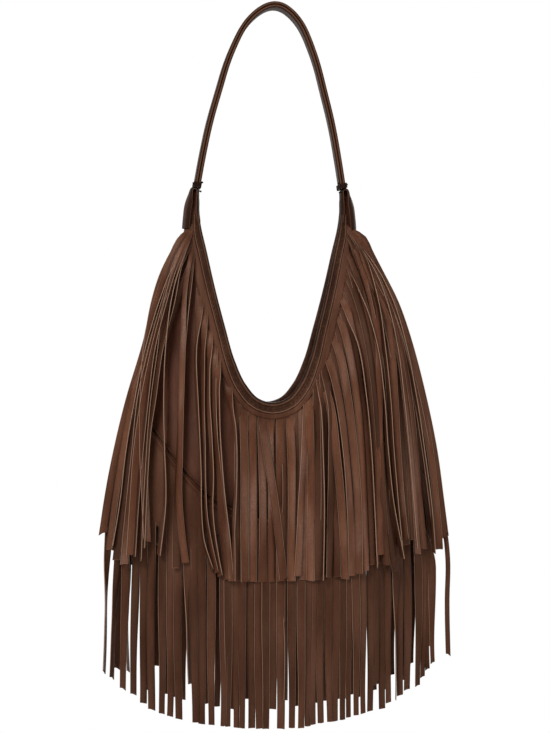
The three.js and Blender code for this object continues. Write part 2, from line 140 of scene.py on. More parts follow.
# The upper fringe's strips on the front, as the photograph shows them, from the hindmost to
# the foremost. Each has its turn at the top and at the foot in degrees (its left edge comes
# forward), the slant of its cut foot, and the pixels that its middle passes.
UPPER_STRIPS = {
    "left_crease_1": (-60, -60, 0.0, (
        (177, 256), (160, 300), (146, 350), (136, 400), (127, 450), (120.5, 500), (113, 545),
    )),
    "left_dark": (10, 10, 0.3, (
        (177, 250), (163, 300), (148, 350), (136, 400), (129.5, 450), (123, 500), (116, 560),
    )),
    "left_fourth": (0, 0, 0.2, (
        (180, 250), (165, 300), (151, 350), (140, 400), (135, 450), (130, 500), (124, 564),
    )),
    "left_sixth": (0, 0, 0.0, (
        (187, 272), (176.7, 300), (160.8, 350), (151, 400), (144, 450), (140, 500), (137, 548),
    )),
    "left_thin_low": (-66, -66, 0.0, (
        (178, 270), (163, 300), (155, 350), (148, 400), (143, 480), (140, 558),
    )),
    "left_crease_2": (-62, -55, 0.0, (
        (179, 258), (166, 300), (153.5, 350), (146.5, 400), (141, 450), (137, 500), (134, 556),
    )),
    "left_fifth": (15, 15, 0.2, (
        (181, 250), (167, 300), (154, 350), (144, 400), (137, 450), (133.5, 500), (130, 555),
    )),
    "left_third": (0, 0, 0.3, (
        (178, 240), (171.5, 254), (156, 300), (145, 350), (133, 400), (123.5, 450), (115.5, 500),
        (109, 550),
    )),
    "left_outer": (-8, -8, 0.8, (
        (179, 241), (172, 256), (158, 300), (144.5, 350), (129.5, 400), (117.5, 450), (108, 500),
        (103, 533),
    )),
    "left_crease_3": (-64, -60, 0.0, (
        (181, 262), (173, 300), (160, 350), (153, 400), (148.5, 430), (146, 470), (143, 548),
    )),
    "left_light": (0, 0, -0.3, (
        (177, 244), (170, 257), (162.5, 274), (154.5, 302), (149, 332), (146.5, 350), (143.6, 400),
        (143, 450), (145, 500), (147, 541),
    )),
    "left_turned": (-72, -62, 0.0, (
        (180.5, 262), (171.5, 300), (166, 350), (164, 400), (164.3, 450), (165, 500), (159, 555),
    )),
    "left_hidden": (-75, 0, 0.0, (
        (189, 292), (185, 325), (182, 360), (180, 400), (178.5, 450), (177.5, 500), (176, 568),
    )),
    "left_edge_on": (-70, -28, 0.0, (
        (187, 275), (184, 300), (182, 350), (180.5, 400), (179.5, 450), (178.5, 500), (181, 531),
        (185, 563),
    )),
    "group_first": (-62, -48, 0.3, (
        (198, 326), (195.6, 350), (197, 400), (199, 437), (200.6, 475), (200.8, 512), (203, 540),
        (212, 570),
    )),
    "group_second": (-62, -48, 0.3, (
        (203.8, 336), (203, 362), (202.5, 400), (204, 450), (204.5, 487), (206, 519), (210, 544),
        (216, 573),
    )),
    "group_third": (-62, -48, 0.3, (
        (209.6, 347), (209.3, 370), (209, 400), (211, 437), (213, 475), (212.5, 512), (215.5, 544),
        (220.6, 576),
    )),
    "group_fourth": (-62, -48, 0.2, (
        (214.6, 370), (215, 400), (216, 437), (219, 475), (221.5, 512), (224.5, 544), (227, 579),
    )),
    "group_fifth": (-62, -48, 0.1, (
        (218.4, 382), (219.4, 410), (221, 450), (224, 500), (227.5, 537), (231, 581),
    )),
    "middle_left": (10, 10, 0.0, ((238.5, 420), (238.5, 450), (238, 500), (237.8, 581))),
    "middle_turned": (-68, -68, 0.0, (
        (231.5, 405), (234.5, 425), (236, 450), (235, 487), (233.3, 525), (232.5, 581),
    )),
    "middle_1": (0, 0, 0.1, ((244.5, 424), (244.7, 460), (244.5, 520), (244.5, 582))),
    "middle_2": (-6, -6, -0.1, ((253, 430), (253.3, 460), (253.2, 520), (252.8, 581.5))),
    "middle_3": (6, 6, 0.0, ((262.5, 432), (262.8, 460), (263.2, 520), (262.5, 582))),
    "middle_5": (8, 8, 0.1, ((281, 432), (280.5, 460), (280.2, 520), (280, 581))),
    "middle_4": (0, 0, 0.0, ((271, 434), (271.6, 460), (272, 520), (271.5, 582))),
    "middle_crossing": (-10, -10, 0.1, (
        (265, 432), (268.5, 460), (273, 490), (277.5, 525), (283.5, 579),
    )),
    "middle_6": (0, 0, 0.1, ((292, 424), (292, 460), (291.8, 520), (291.5, 581))),
    "middle_7": (0, 0, 0.0, ((303.8, 418), (303.6, 460), (303.5, 520), (303.5, 580))),
    "middle_leaning": (34, 34, 0.0, ((307.3, 418), (305, 448), (302.5, 482), (300, 532), (298, 576))),
    "middle_8": (0, 0, -0.1, ((310.7, 410), (310.6, 460), (310.5, 520), (310.5, 581))),
    "middle_9": (4, 4, 0.1, ((318, 402), (318, 460), (318, 520), (318, 580))),
    "right_edge": (70, 70, 0.0, ((322, 398), (323.2, 425), (323.5, 480), (323.5, 580))),
    "right_inner": (30, 30, 0.0, ((327.5, 378), (331.5, 405), (332, 450), (331, 500), (329.5, 577))),
    "right_1": (0, 0, -0.1, ((325, 384), (331, 405), (336.5, 450), (341, 500), (344, 550), (345, 579))),
    "right_2": (0, 0, 0.1, (
        (331, 360), (335.5, 378), (340, 400), (346, 450), (349.5, 500), (352, 550), (352.5, 576),
    )),
    "right_3": (5, 5, 0.0, ((336, 338), (341, 355), (349, 400), (354.5, 450), (358, 500), (359, 574))),
    "right_4": (0, 0, 0.1, (
        (341.5, 318), (350, 350), (358, 400), (362.5, 450), (364.5, 500), (366, 571),
    )),
    "right_5": (50, 50, 0.2, (
        (345.5, 300), (350, 316), (360, 350), (367, 400), (371, 450), (374, 500), (378, 565),
    )),
    "right_hidden_1": (0, 0, 0.0, (
        (362, 256), (372, 290), (381, 330), (387, 370), (390, 420), (392, 480), (394, 545),
    )),
    "right_hidden_2": (6, 0, 0.1, (
        (364, 253), (377, 290), (388, 330), (395, 370), (399, 420), (403, 480), (406, 545),
    )),
    "right_hidden_3": (-6, 0, 0.0, (
        (366, 251), (382, 290), (396, 330), (405, 370), (411, 420), (415.5, 480), (419, 545),
    )),
    "right_crease_1": (60, 55, 0.0, (
        (371, 262), (386, 300), (398, 350), (404, 400), (409, 450), (413.5, 500), (417, 548),
    )),
    "right_outer_2": (0, 0, -0.3, (
        (362.5, 242), (367.5, 256), (377, 278), (395.5, 312), (407, 350), (416.5, 400), (424, 450),
        (430.5, 500), (435.5, 540),
    )),
    "right_outer_4": (10, 10, -0.1, (
        (361, 245), (366, 259), (375, 280), (391, 312), (403.5, 350), (411, 400), (416.5, 450),
        (420.7, 500), (425.3, 549),
    )),
    "right_outer_3": (0, 0, -0.4, (
        (363.5, 240), (369, 254), (379, 276), (395, 308), (409, 350), (420.5, 400), (429.5, 450),
        (435.5, 500), (439.5, 549),
    )),
    "right_crease_2": (62, 60, 0.0, (
        (374, 262), (392, 300), (407, 350), (417, 400), (424, 450), (430, 500), (434, 552),
    )),
    "right_crease_3": (-64, -60, 0.0, (
        (366, 262), (377, 300), (384, 350), (388.5, 400), (391.5, 450), (396, 500), (402, 556),
    )),
    "right_8": (68, 68, 0.0, (
        (353, 270), (366, 306), (378, 350), (384, 400), (387, 450), (392, 500), (403, 558),
    )),
    "right_outer_5": (0, 0, -0.2, (
        (359.5, 248), (364.5, 262), (373, 282), (387, 312), (399, 350), (406, 400), (411.5, 450),
        (415.5, 500), (419, 554),
    )),
    "right_outer_1": (-6, -6, 0.5, (
        (364, 238), (371, 252), (381.5, 274), (396, 305), (411, 350), (423.5, 400), (433.5, 450),
        (440.3, 500), (445, 537),
    )),
    "right_7": (0, 0, -0.1, (
        (350.5, 280), (358, 300), (370, 350), (376.5, 400), (380.5, 450), (385, 500), (390, 537),
        (396, 571),
    )),
    "right_9": (-10, -10, 0.2, (
        (361, 244), (368, 258), (376.5, 278), (384, 300), (391, 350), (394, 400), (396.7, 450),
        (401, 500), (405, 540),
    )),
    "right_6": (20, 20, 0.1, (
        (355.5, 250), (361, 266), (368, 286), (373, 305), (378, 350), (379, 400), (379, 450),
        (379, 500), (380.5, 555),
    )),
}

# The lower fringe's strips, roughly from left to right, as the photograph shows the front
# ones, and the back ones between them. Each has the pixels of its foot's middle, the foot's
# width in pixels, and how far its root lies to the right of plumb, in pixels.
LOWER_FRONT = (
    (111.8, 677, 4, 5), (122.6, 688, 6.3, 3), (133, 694, 6.4, 4), (143, 703, 7, 0),
    (151.2, 709, 7.6, 1), (162, 713, 6, 1), (170, 716, 6.2, 0), (178.4, 718.5, 7, 0),
    (189, 684, 3.4, -2), (195.2, 722, 6.8, -2), (202, 724, 6.8, -1), (211, 724.5, 6.2, 0),
    (223, 726, 5.6, 0), (228.2, 726.5, 5.4, 0), (236, 727.5, 6, 0), (241.8, 728, 5.4, 0),
    (252, 728, 7.2, 0), (259, 728.5, 7.2, 0), (273, 709, 7.4, 0), (265.8, 728.5, 6.8, 0),
    (286.4, 700, 3.6, 1), (280.6, 728.5, 7.8, 0), (292, 728, 6.2, 0), (301, 727.5, 6.6, 0),
    (307.2, 726.5, 6.2, 0), (313.2, 724.5, 5.8, 0), (320.2, 723, 6.5, 0), (329.3, 721.5, 6, 0),
    (335, 721, 6, 0), (342.8, 720, 5.8, 0), (348, 717.5, 5, 0), (356, 715, 5.6, -2),
    (363, 713, 5.2, -1), (376.3, 684, 5.4, -1), (370.5, 711, 6, 0), (382.2, 708.5, 6.6, -3),
    (387.6, 702, 5.8, -1), (395, 697, 3, 0), (399.4, 695, 6.6, 0), (407, 689, 6.2, 0),
    (417.4, 685, 5.4, -3), (422.4, 676, 4.8, -2), (427, 668.5, 4.8, -2), (432.4, 662, 4.5, -3),
)
# The two strips that hang clear at the sides: the width that each shows from straight ahead,
# in pixels, and the pixels that its middle passes
STRAYS = (
    (1.4, ((121, 470), (113, 500), (108, 552), (106, 610), (103.6, 671))),
    (5, ((424, 470), (438, 500), (446, 535), (448.5, 560), (448, 600), (447.5, 654))),
)
LOWER_BACK = (
    (117, 668, 6, 1), (127.6, 671, 3.4, 1), (148, 690, 7, 0), (157.4, 666, 7.4, -1),
    (166.2, 694, 5.4, 0), (174, 697, 5.4, 0), (183.2, 700, 4.6, 1.5), (198, 702, 7, 0),
    (206.4, 704, 7, 0), (217.3, 707, 6.6, 0), (225, 708, 7, 0), (232, 709, 6.6, 0),
    (239, 706, 7, 0), (246.6, 699, 4.6, 0), (256, 708, 7, 0), (263, 707, 7, 0),
    (270.2, 705, 7.4, 0), (283, 690, 7, 0), (296.4, 706, 5.6, 0), (304, 705, 7, 0),
    (316.6, 703, 6.8, 0), (325, 701, 6.2, 0), (332, 702, 7, 0), (339, 699, 6.2, 0),
    (345.6, 699, 6, 0), (351.4, 695, 5.2, 0), (359.6, 697, 5.6, 0), (373, 690, 7, 0),
    (385, 690, 7, 0), (392, 675, 5.4, 0), (403, 680, 6, 0), (411.6, 663, 4.6, 0), (420, 655, 6, 0),
    (429, 646, 6.6, 0),
)


# Numbers, curves and places


def mix(low, high, share):
    return low + (high - low) * share


def ease_in(value, start, end):
    """Goes smoothly from 0 at start to 1 at end."""
    share = np.clip((value - start) / (end - start), 0, 1)
    return share * share * (3 - 2 * share)


def unit(vectors):
    return vectors / np.linalg.norm(vectors, axis=-1, keepdims=True)


def through(pairs, at):
    """Reads a smooth curve through (place, value) pairs."""
    places, values = np.array(pairs, float).T
    slopes = np.gradient(values, places)
    at = np.clip(at, places[0], places[-1])
    i = np.clip(np.searchsorted(places, at) - 1, 0, len(places) - 2)
    gap = places[i + 1] - places[i]
    t = (at - places[i]) / gap
    begin = (1 + 2 * t) * (1 - t) ** 2 * values[i] + t * (1 - t) ** 2 * gap * slopes[i]
    end = t * t * (3 - 2 * t) * values[i + 1] - t * t * (1 - t) * gap * slopes[i + 1]
    return begin + end


class Line:
    """A smooth line through points, read by a share of its length."""

    def __init__(self, points, steps=600):
        points = np.array(points, float)
        gaps = np.linalg.norm(np.diff(points, axis=0), axis=1)
        chord = np.concatenate(([0], np.cumsum(gaps)))
        fine = np.linspace(0, chord[-1], steps)
        columns = [through(np.stack((chord, column), 1), fine) for column in points.T]
        self.points = np.stack(columns, axis=1)
        gaps = np.linalg.norm(np.diff(self.points, axis=0), axis=1)
        self.places = np.concatenate(([0], np.cumsum(gaps)))
        self.length = self.places[-1]
        self.headings = unit(np.gradient(self.points, axis=0))

    def read(self, columns, share):
        place = np.asarray(share, float) * self.length
        return np.stack([np.interp(place, self.places, c) for c in columns.T], axis=-1)

    def at(self, share):
        return self.read(self.points, share)

    def heading(self, share):
        return unit(self.read(self.headings, share))


def side_share(drop):
    return (drop - PEAK_DROP) / (WIDEST_DROP - PEAK_DROP)


PEAK_REACH = MOUTH_SPAN / 2 + PEAK_WIDTH
SEAM_STAND = CLEARANCE / 2 + LINING + CLEARANCE + LEATHER


def half_width(drop):
    return mix(PEAK_REACH, POUCH_WIDTH / 2, through(SIDE_SHAPE, side_share(drop)))


def pouch_stand(across, drop):
    """How far the pouch's outer face stands from the middle plane."""
    rounding = np.maximum(0, drop - ROUNDING_DROP) / (POUCH_DROP - ROUNDING_DROP)
    left = 1 - (np.abs(across) / half_width(drop)) ** ROUNDNESS - rounding**ROUNDNESS
    full = FULLNESS * through(FULLNESS_SHAPE, side_share(drop))
    return SEAM_STAND + full * np.maximum(0, left)


def drape_stand(across, drop):
    """A sheet lies on the pouch as far as its widest drop, and hangs plumb below it."""
    return pouch_stand(across, np.minimum(drop, WIDEST_DROP))


def fringe_stand(across, drop):
    """The upper fringe hangs wider than the pouch at its sides."""
    hung = np.minimum(drop, WIDEST_DROP)
    down = (drop - PEAK_DROP) / (UPPER_HEM_DROP - PEAK_DROP)
    reach = UPPER_SPREAD * through(OUTLINE_SHAPE, down)
    left = np.maximum(0, 1 - (np.abs(across) / reach) ** ROUNDNESS)
    return SEAM_STAND + FULLNESS * through(FULLNESS_SHAPE, side_share(hung)) * left


def both_sides(half, middle):
    """A line's left half, its middle point, and its right half."""
    right = [(-across, drop) for across, drop in reversed(half)]
    return Line([*half, middle, *right])


NECK_HALF = [(-MOUTH_SPAN / 2 * a, mix(PEAK_DROP, MOUTH_DROP, d)) for a, d in NECK_SHAPE]
NECK = both_sides(NECK_HALF, (0, MOUTH_DROP))


def outline_half():
    """The sewn edge of the pouch from the left peak to near the bottom's middle."""
    points = []
    for share in np.arange(9) / 9:
        drop = mix(PEAK_DROP, ROUNDING_DROP, share)
        points.append((-float(half_width(drop)), drop))
    for angle in np.arange(6) / 6 * math.pi / 2:
        drop = mix(ROUNDING_DROP, POUCH_DROP, math.sin(angle) ** (2 / ROUNDNESS))
        reach = float(half_width(drop)) * math.cos(angle) ** (2 / ROUNDNESS)
        points.append((-reach, drop))
    return points


OUTLINE = both_sides(outline_half(), (0, POUCH_DROP))


def beside_mouth(share, distance):
    """The place at a share of the mouth's edge, and a distance out from it."""
    point = NECK.at(share)
    heading = NECK.heading(share)
    across = point[..., 0] - heading[..., 1] * distance
    drop = point[..., 1] + heading[..., 0] * distance
    return across, drop


def mouth_share_at(drop):
    """The share of the mouth's left edge at which it reaches a drop."""
    shares = np.linspace(0, 0.5, 400)
    return float(np.interp(drop, NECK.at(shares)[:, 1], shares))


BAND_START = mouth_share_at(BAND_TOP_DROP)


def seam_drop(share):
    rise = (SEAM_LOW_DROP - SEAM_TOP_DROP) * np.abs(2 * share - 1) ** SEAM_POWER
    return SEAM_LOW_DROP - rise


def cut_drop(share):
    return CUT_DROP - CUT_RISE * (2 * share - 1) ** 2


def seen(px, py, stand):
    """The place where the line of sight through a pixel meets a plane towards the front."""
    right = (np.asarray(px, float) - PHOTO_CENTRE[0]) * PHOTO_STEP
    up = (PHOTO_CENTRE[1] - np.asarray(py, float)) * PHOTO_STEP
    ray = VIEW * DISTANCE + right[..., None] * RIGHT + up[..., None] * UP
    reach = (-np.asarray(stand, float) - EYE[1]) / ray[..., 1]
    spot = EYE + ray * reach[..., None]
    return spot[..., 0], -spot[..., 2]


def outward(stand_at, across, drop, facing, tilt=1.0):
    """The direction straight out of a surface, given its stand at each place."""
    step = 0.002
    wide = (stand_at(across + step, drop) - stand_at(across - step, drop)) / (2 * step)
    deep = (stand_at(across, drop + step) - stand_at(across, drop - step)) / (2 * step)
    out = np.stack((-wide * tilt, np.full_like(wide, facing), deep * tilt), axis=-1)
    return unit(out)


# Meshes


class Pile:
    """The points and faces of one piece, gathered part by part."""

    def __init__(self):
        self.points = []
        self.faces = []
        self.places = []
        self.tones = []
        self.count = 0

    def add(self, points, faces, places, tone=0.5):
        points = points.reshape(-1, 3)
        self.points.append(points)
        self.faces.append(np.asarray(faces) + self.count)
        self.places.append(places.reshape(-1, 2))
        self.tones.append(np.broadcast_to(tone, len(points)))
        self.count += len(points)

    def make(self, name, material):
        """A mesh object with a leather map (across and along) and a tone for each point."""
        mesh = bpy.data.meshes.new(name)
        points = np.concatenate(self.points)
        faces = [f for part in self.faces for f in part.tolist()]
        mesh.from_pydata(points.tolist(), [], faces)
        places = np.concatenate(self.places)
        tones = np.concatenate(self.tones)
        attribute = mesh.attributes.new("tone", "FLOAT", "POINT")
        attribute.data.foreach_set("value", tones.astype(np.float32))
        corners = np.zeros(len(mesh.loops), np.int32)
        mesh.loops.foreach_get("vertex_index", corners)
        layer = mesh.uv_layers.new(name="leather")
        layer.data.foreach_set("uv", places[corners].astype(np.float32).ravel())
        work = bmesh.new()
        work.from_mesh(mesh)
        bmesh.ops.recalc_face_normals(work, faces=work.faces)
        work.to_mesh(mesh)
        work.free()
        mesh.shade_smooth()
        mesh.materials.append(material)
        piece = bpy.data.objects.new(name, mesh)
        bpy.context.collection.objects.link(piece)
        return piece


def ring_faces(rings, around):
    """Quads between the rings of a tube whose two ends are closed."""
    grid = np.arange(rings * around).reshape(rings, around)
    ahead = np.roll(grid, -1, axis=1)
    sides = np.stack((grid[:-1], ahead[:-1], ahead[1:], grid[1:]), axis=-1).reshape(-1, 4)
    half = around // 2
    caps = []
    for ring in (grid[0], grid[-1]):
        for i in range(half - 1):
            caps.append((ring[i], ring[i + 1], ring[around - 2 - i], ring[around - 1 - i]))
    return np.concatenate((sides, np.array(caps)))


def sheet_faces(rows, columns):
    """Quads of a closed sheet: its outer points, its inner points, and the rim between."""
    outer = np.arange(rows * columns).reshape(rows, columns)
    inner = outer + rows * columns
    flat = [outer[:-1, :-1], outer[:-1, 1:], outer[1:, 1:], outer[1:, :-1]]
    faces = [np.stack(flat, axis=-1).reshape(-1, 4)]
    flat = [inner[:-1, :-1], inner[1:, :-1], inner[1:, 1:], inner[:-1, 1:]]
    faces.append(np.stack(flat, axis=-1).reshape(-1, 4))
    rim = np.concatenate((outer[0], outer[1:, -1], outer[-1, -2::-1], outer[-2:0:-1, 0]))
    under = rim + rows * columns
    ahead = np.roll(rim, -1)
    faces.append(np.stack((rim, under, np.roll(under, -1), ahead), axis=-1))
    return np.concatenate(faces)


def add_sheet(pile, outer, inner, tone=0.5):
    """Adds a closed sheet from two equal grids of points."""
    rows, columns = outer.shape[:2]
    down, along = np.meshgrid(np.linspace(0, 1, rows), np.linspace(0.2, 0.8, columns), indexing="ij")
    places = np.stack((along, down), axis=-1).reshape(-1, 2)
    points = np.concatenate((outer.reshape(-1, 3), inner.reshape(-1, 3)))
    pile.add(points, sheet_faces(rows, columns), np.concatenate((places, places)), tone)


STRIP_SECTION = np.array((
    (1, 0), (0.94, 0.75), (0.78, 1), (0, 1), (-0.78, 1), (-0.94, 0.75),
    (-1, 0), (-0.94, -0.75), (-0.78, -1), (0, -1), (0.78, -1), (0.94, -0.75),
))


def add_strip(pile, path, out, width, leather, turn=0.0, wrap=0.01, foot=(0.0, 0.0), tone=0.5,
              section=STRIP_SECTION):
    """Adds a strap or strip that carries a section along a path.

    turn brings its left edge forward and wrap bends its edges inwards, both in radians. foot
    is the slant and the pointedness of its last end, as shares of half its width.
    """
    ahead = unit(np.gradient(path, axis=0))
    left = unit(np.cross(ahead, out))
    out = np.cross(left, ahead)
    turn = np.broadcast_to(turn, len(path))[:, None]
    across = (left * np.cos(turn) + out * np.sin(turn))[:, None]
    up = (out * np.cos(turn) - left * np.sin(turn))[:, None]
    half = (np.broadcast_to(width, len(path)) / 2)[:, None]
    wrap = np.broadcast_to(wrap, len(path))[:, None]
    angle = section[:, 0] * wrap
    thick = section[:, 1] * leather / 2
    sideways = half * np.sin(angle) / wrap + thick * np.sin(angle)
    lift = thick * np.cos(angle) - half * (1 - np.cos(angle)) / wrap
    points = path[:, None] + across * sideways[..., None] + up * lift[..., None]
    slant, pointed = foot
    push = (slant * section[:, 0] - pointed * np.abs(section[:, 0])) * half[-1, 0]
    points[-1] += push[:, None] * ahead[-1]
    run = np.concatenate(([0], np.cumsum(np.linalg.norm(np.diff(path, axis=0), axis=1))))
    u = np.broadcast_to((section[:, 0] + 1) / 2, (len(path), len(section)))
    tone = np.repeat(np.broadcast_to(tone, len(path)), len(section))
    v = np.broadcast_to(run[:, None], u.shape)
    pile.add(points, ring_faces(len(path), len(section)), np.stack((u, v), -1), tone)


def add_stitch(pile, middle, ahead, out, length, thread):
    """Adds one stitch: a short thread with six sides and rounded ends."""
    side = np.cross(ahead, out)
    angles = np.arange(6) * math.pi / 3
    around = np.cos(angles)[:, None] * side + np.sin(angles)[:, None] * out
    rings = []
    for place, size in ((-0.5, 0.45), (-0.36, 1), (0.36, 1), (0.5, 0.45)):
        rings.append(middle + ahead * place * length + around * size * thread / 2)
    places = np.zeros((24, 2))
    pile.add(np.array(rings), ring_faces(4, 6), places)


def add_stitches(pile, line, outs, length, thread):
    """Adds a row of stitches along points that are one stitch apart."""
    ahead = unit(np.gradient(line, axis=0))
    for middle, way, out in zip(line, ahead, outs):
        out = out - way * np.dot(out, way)
        add_stitch(pile, middle, way, out / np.linalg.norm(out), length, thread)


def dress(piece, slot, *nodes):
    """The piece rides with the bag and stands for CAD nodes, whose parts it hides. The slot is not used."""
    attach(piece, "root")
    if nodes:
        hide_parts(*nodes)
    return piece


# Materials


def link(tree, source, target):
    tree.links.new(source, target)


def node(tree, kind, **inputs):
    made = tree.nodes.new(kind)
    for name, value in inputs.items():
        made.inputs[name.replace("_", " ")].default_value = value
    return made


def ramp(tree, source, stops):
    """A colour ramp, with (place, colour) stops."""
    made = tree.nodes.new("ShaderNodeValToRGB")
    elements = made.color_ramp.elements
    while len(elements) < len(stops):
        elements.new(0.5)
    for element, (place, colour) in zip(elements, stops):
        element.position = place
        element.color = (*colour, 1)
    link(tree, source, made.inputs["Fac"])
    return made.outputs["Color"]


def blended(tree, kind, share, first, second):
    """Two colours mixed, in one of the mix node's ways."""
    made = tree.nodes.new("ShaderNodeMix")
    made.data_type = "RGBA"
    made.blend_type = kind
    for slot, value in ((0, share), (6, first), (7, second)):
        if isinstance(value, (int, float)):
            made.inputs[slot].default_value = value
        elif isinstance(value, tuple):
            made.inputs[slot].default_value = (*value, 1)
        else:
            link(tree, value, made.inputs[slot])
    return made.outputs[2]


def spread(tree, source, low, high, to_low, to_high):
    """A value carried from one range to another."""
    made = tree.nodes.new("ShaderNodeMapRange")
    made.inputs["From Min"].default_value = low
    made.inputs["From Max"].default_value = high
    made.inputs["To Min"].default_value = to_low
    made.inputs["To Max"].default_value = to_high
    link(tree, source, made.inputs["Value"])
    return made.outputs["Result"]


def noise(tree, place, scale, detail=3.0, rough=0.55):
    made = node(tree, "ShaderNodeTexNoise", Scale=scale, Detail=detail, Roughness=rough)
    link(tree, place, made.inputs["Vector"])
    return made.outputs["Fac"]


def srgb(red, green, blue):
    """A colour written as 0 to 255, made linear."""
    def linear(value):
        value = value / 255
        if value <= 0.04045:
            return value / 12.92
        return ((value + 0.055) / 1.055) ** 2.4
    return (linear(red), linear(green), linear(blue))


def math_node(tree, operation, first, second):
    """One step of arithmetic on sockets or numbers."""
    made = tree.nodes.new("ShaderNodeMath")
    made.operation = operation
    for slot, value in enumerate((first, second)):
        if isinstance(value, (int, float)):
            made.inputs[slot].default_value = value
        else:
            link(tree, value, made.inputs[slot])
    return made.outputs[0]


def share_across(tree):
    """The share of the way across a strip or band, from the leather map."""
    parts = tree.nodes.new("ShaderNodeSeparateXYZ")
    layer = tree.nodes.new("ShaderNodeUVMap")
    layer.uv_map = "leather"
    link(tree, layer.outputs["UV"], parts.inputs["Vector"])
    return parts.outputs["X"]


# The pale colour of the painted highlights: patches of sheen on the fringe
PAINTED_SHEEN_COLOUR = srgb(136, 106, 92)


# How far the clouds in the dye and the painted sheen patches are drawn out down the bag: less is longer
CLOUD_DRAWN = (1, 1, 0.22)
WARM_GLOSS = (1.0, 0.8, 0.66, 1)


def fresh_material(name):
    """A new material's node tree, its shader, and places on the bag for its patterns."""
    material = bpy.data.materials.new(name)
    material.use_nodes = True
    tree = material.node_tree
    place = tree.nodes.new("ShaderNodeTexCoord").outputs["Object"]
    return material, tree, tree.nodes["Principled BSDF"], place


def embossed(tree, shader, height, strength, distance):
    """A fine relief in the surface."""
    bump = node(tree, "ShaderNodeBump", Strength=strength, Distance=distance)
    link(tree, height, bump.inputs["Height"])
    link(tree, bump.outputs["Normal"], shader.inputs["Normal"])


def greys(levels):
    return [(at, (level, level, level)) for at, level in levels]


def dyed_and_shaded(tree, place, drawn, tone, dark, light, mottle):
    """Cloudy and speckled dye, in the tone of each strip, which is partly random and partly painted shade
    and light.
    """
    colour = ramp(tree, noise(tree, drawn, 70, 4), ((0.28, dark), (0.72, light)))
    # The tone scales each strip's brightness, and for some strips it is painted shade and light
    shade = spread(tree, tone, 0, 1, 0.5, 1.5)
    speckle = spread(tree, noise(tree, place, 520, 3, 0.6), 0.3, 0.7, 1 - mottle, 1 + mottle)
    return blended(tree, "MULTIPLY", 1.0, colour, math_node(tree, "MULTIPLY", shade, speckle))


def painted_sheen(tree, place, drawn, tone, colour, sheen_strength):
    """Painted highlights: paler patches of sheen, broken up by fine grain, on the strips that are light
    already.
    """
    patches = spread(tree, noise(tree, drawn, 34, 3), 0.49, 0.66, 0, sheen_strength)
    sheen_grain = spread(tree, noise(tree, place, 800, 3, 0.7), 0.38, 0.62, 0.25, 1)
    light_strips = spread(tree, tone, 0.3, 0.6, 0.08, 1)
    patches = math_node(tree, "MULTIPLY", patches, light_strips)
    return blended(tree, "MIX", math_node(tree, "MULTIPLY", patches, sheen_grain), colour, PAINTED_SHEEN_COLOUR)


def pale_edges_and_highlights(tree, share, colour, edge, edge_start, lines):
    """The pale raw leather of cut edges, which on the fringe's strips is partly a painted highlight, and the
    binding's pale rolled lines, which are painted highlights.
    """
    apart = math_node(tree, "ABSOLUTE", math_node(tree, "SUBTRACT", share, 0.5), 0)
    rim = spread(tree, apart, edge_start / 2, 0.5, 0, 1)
    if lines:
        rim = ramp(tree, share, greys(lines))
    return blended(tree, "MIX", rim, colour, edge)


def leather_finish(name, dark, light, shine, grain, gloss, edge=None, edge_start=0.88, bands=None,
                   lines=None, mottle=0.1, sheen_strength=0.0):
    """Brown leather: cloudy dye, fine grain, a tone for each strip that holds painted shade and light for
    some, painted shade in bands across, painted highlights in sheen patches and on the binding's rolled
    lines, and paler cut edges, on the fringe partly a painted highlight.
    """
    material, tree, shader, place = fresh_material(name)
    stretch = node(tree, "ShaderNodeVectorMath")
    stretch.operation = "MULTIPLY"
    stretch.inputs[1].default_value = CLOUD_DRAWN
    link(tree, place, stretch.inputs[0])
    drawn = stretch.outputs["Vector"]
    attribute = tree.nodes.new("ShaderNodeAttribute")
    attribute.attribute_name = "tone"
    tone = attribute.outputs["Fac"]
    colour = dyed_and_shaded(tree, place, drawn, tone, dark, light, mottle)
    # Painted highlights: pale patches of sheen on the lighter strips
    if sheen_strength:
        colour = painted_sheen(tree, place, drawn, tone, colour, sheen_strength)
    share = share_across(tree)
    # Painted shade in bands across the width: beside the strips' cut edges, in the strap's ply groove and
    # across the binding
    if bands:
        colour = blended(tree, "MULTIPLY", 1.0, colour, ramp(tree, share, greys(bands)))
    # Pale cut edges, on the fringe partly a painted highlight, and the binding's painted highlight lines
    if edge:
        colour = pale_edges_and_highlights(tree, share, colour, edge, edge_start, lines)
    link(tree, colour, shader.inputs["Base Color"])
    rough = spread(tree, noise(tree, place, 90, 3), 0.3, 0.7, shine - 0.05, shine + 0.08)
    link(tree, rough, shader.inputs["Roughness"])
    shader.inputs["Specular IOR Level"].default_value = gloss
    shader.inputs["Specular Tint"].default_value = WARM_GLOSS
    pebbles = node(tree, "ShaderNodeTexVoronoi", Scale=grain)
    link(tree, place, pebbles.inputs["Vector"])
    fine = noise(tree, place, grain * 0.45, 4, 0.6)
    embossed(tree, shader, blended(tree, "MIX", 0.5, pebbles.outputs["Distance"], fine), 0.35, 0.00025)
    return material


def thread_finish(name, colour):
    """Waxed sewing thread, twisted."""
    material, tree, shader, place = fresh_material(name)
    fibres = noise(tree, place, 2600, 2)
    paler = tuple(min(1, value * 1.7) for value in colour)
    link(tree, ramp(tree, fibres, ((0.35, colour), (0.7, paler))), shader.inputs["Base Color"])
    embossed(tree, shader, fibres, 0.5, 0.0002)
    shader.inputs["Roughness"].default_value = 0.8
    shader.inputs["Specular IOR Level"].default_value = 0.06
    return material


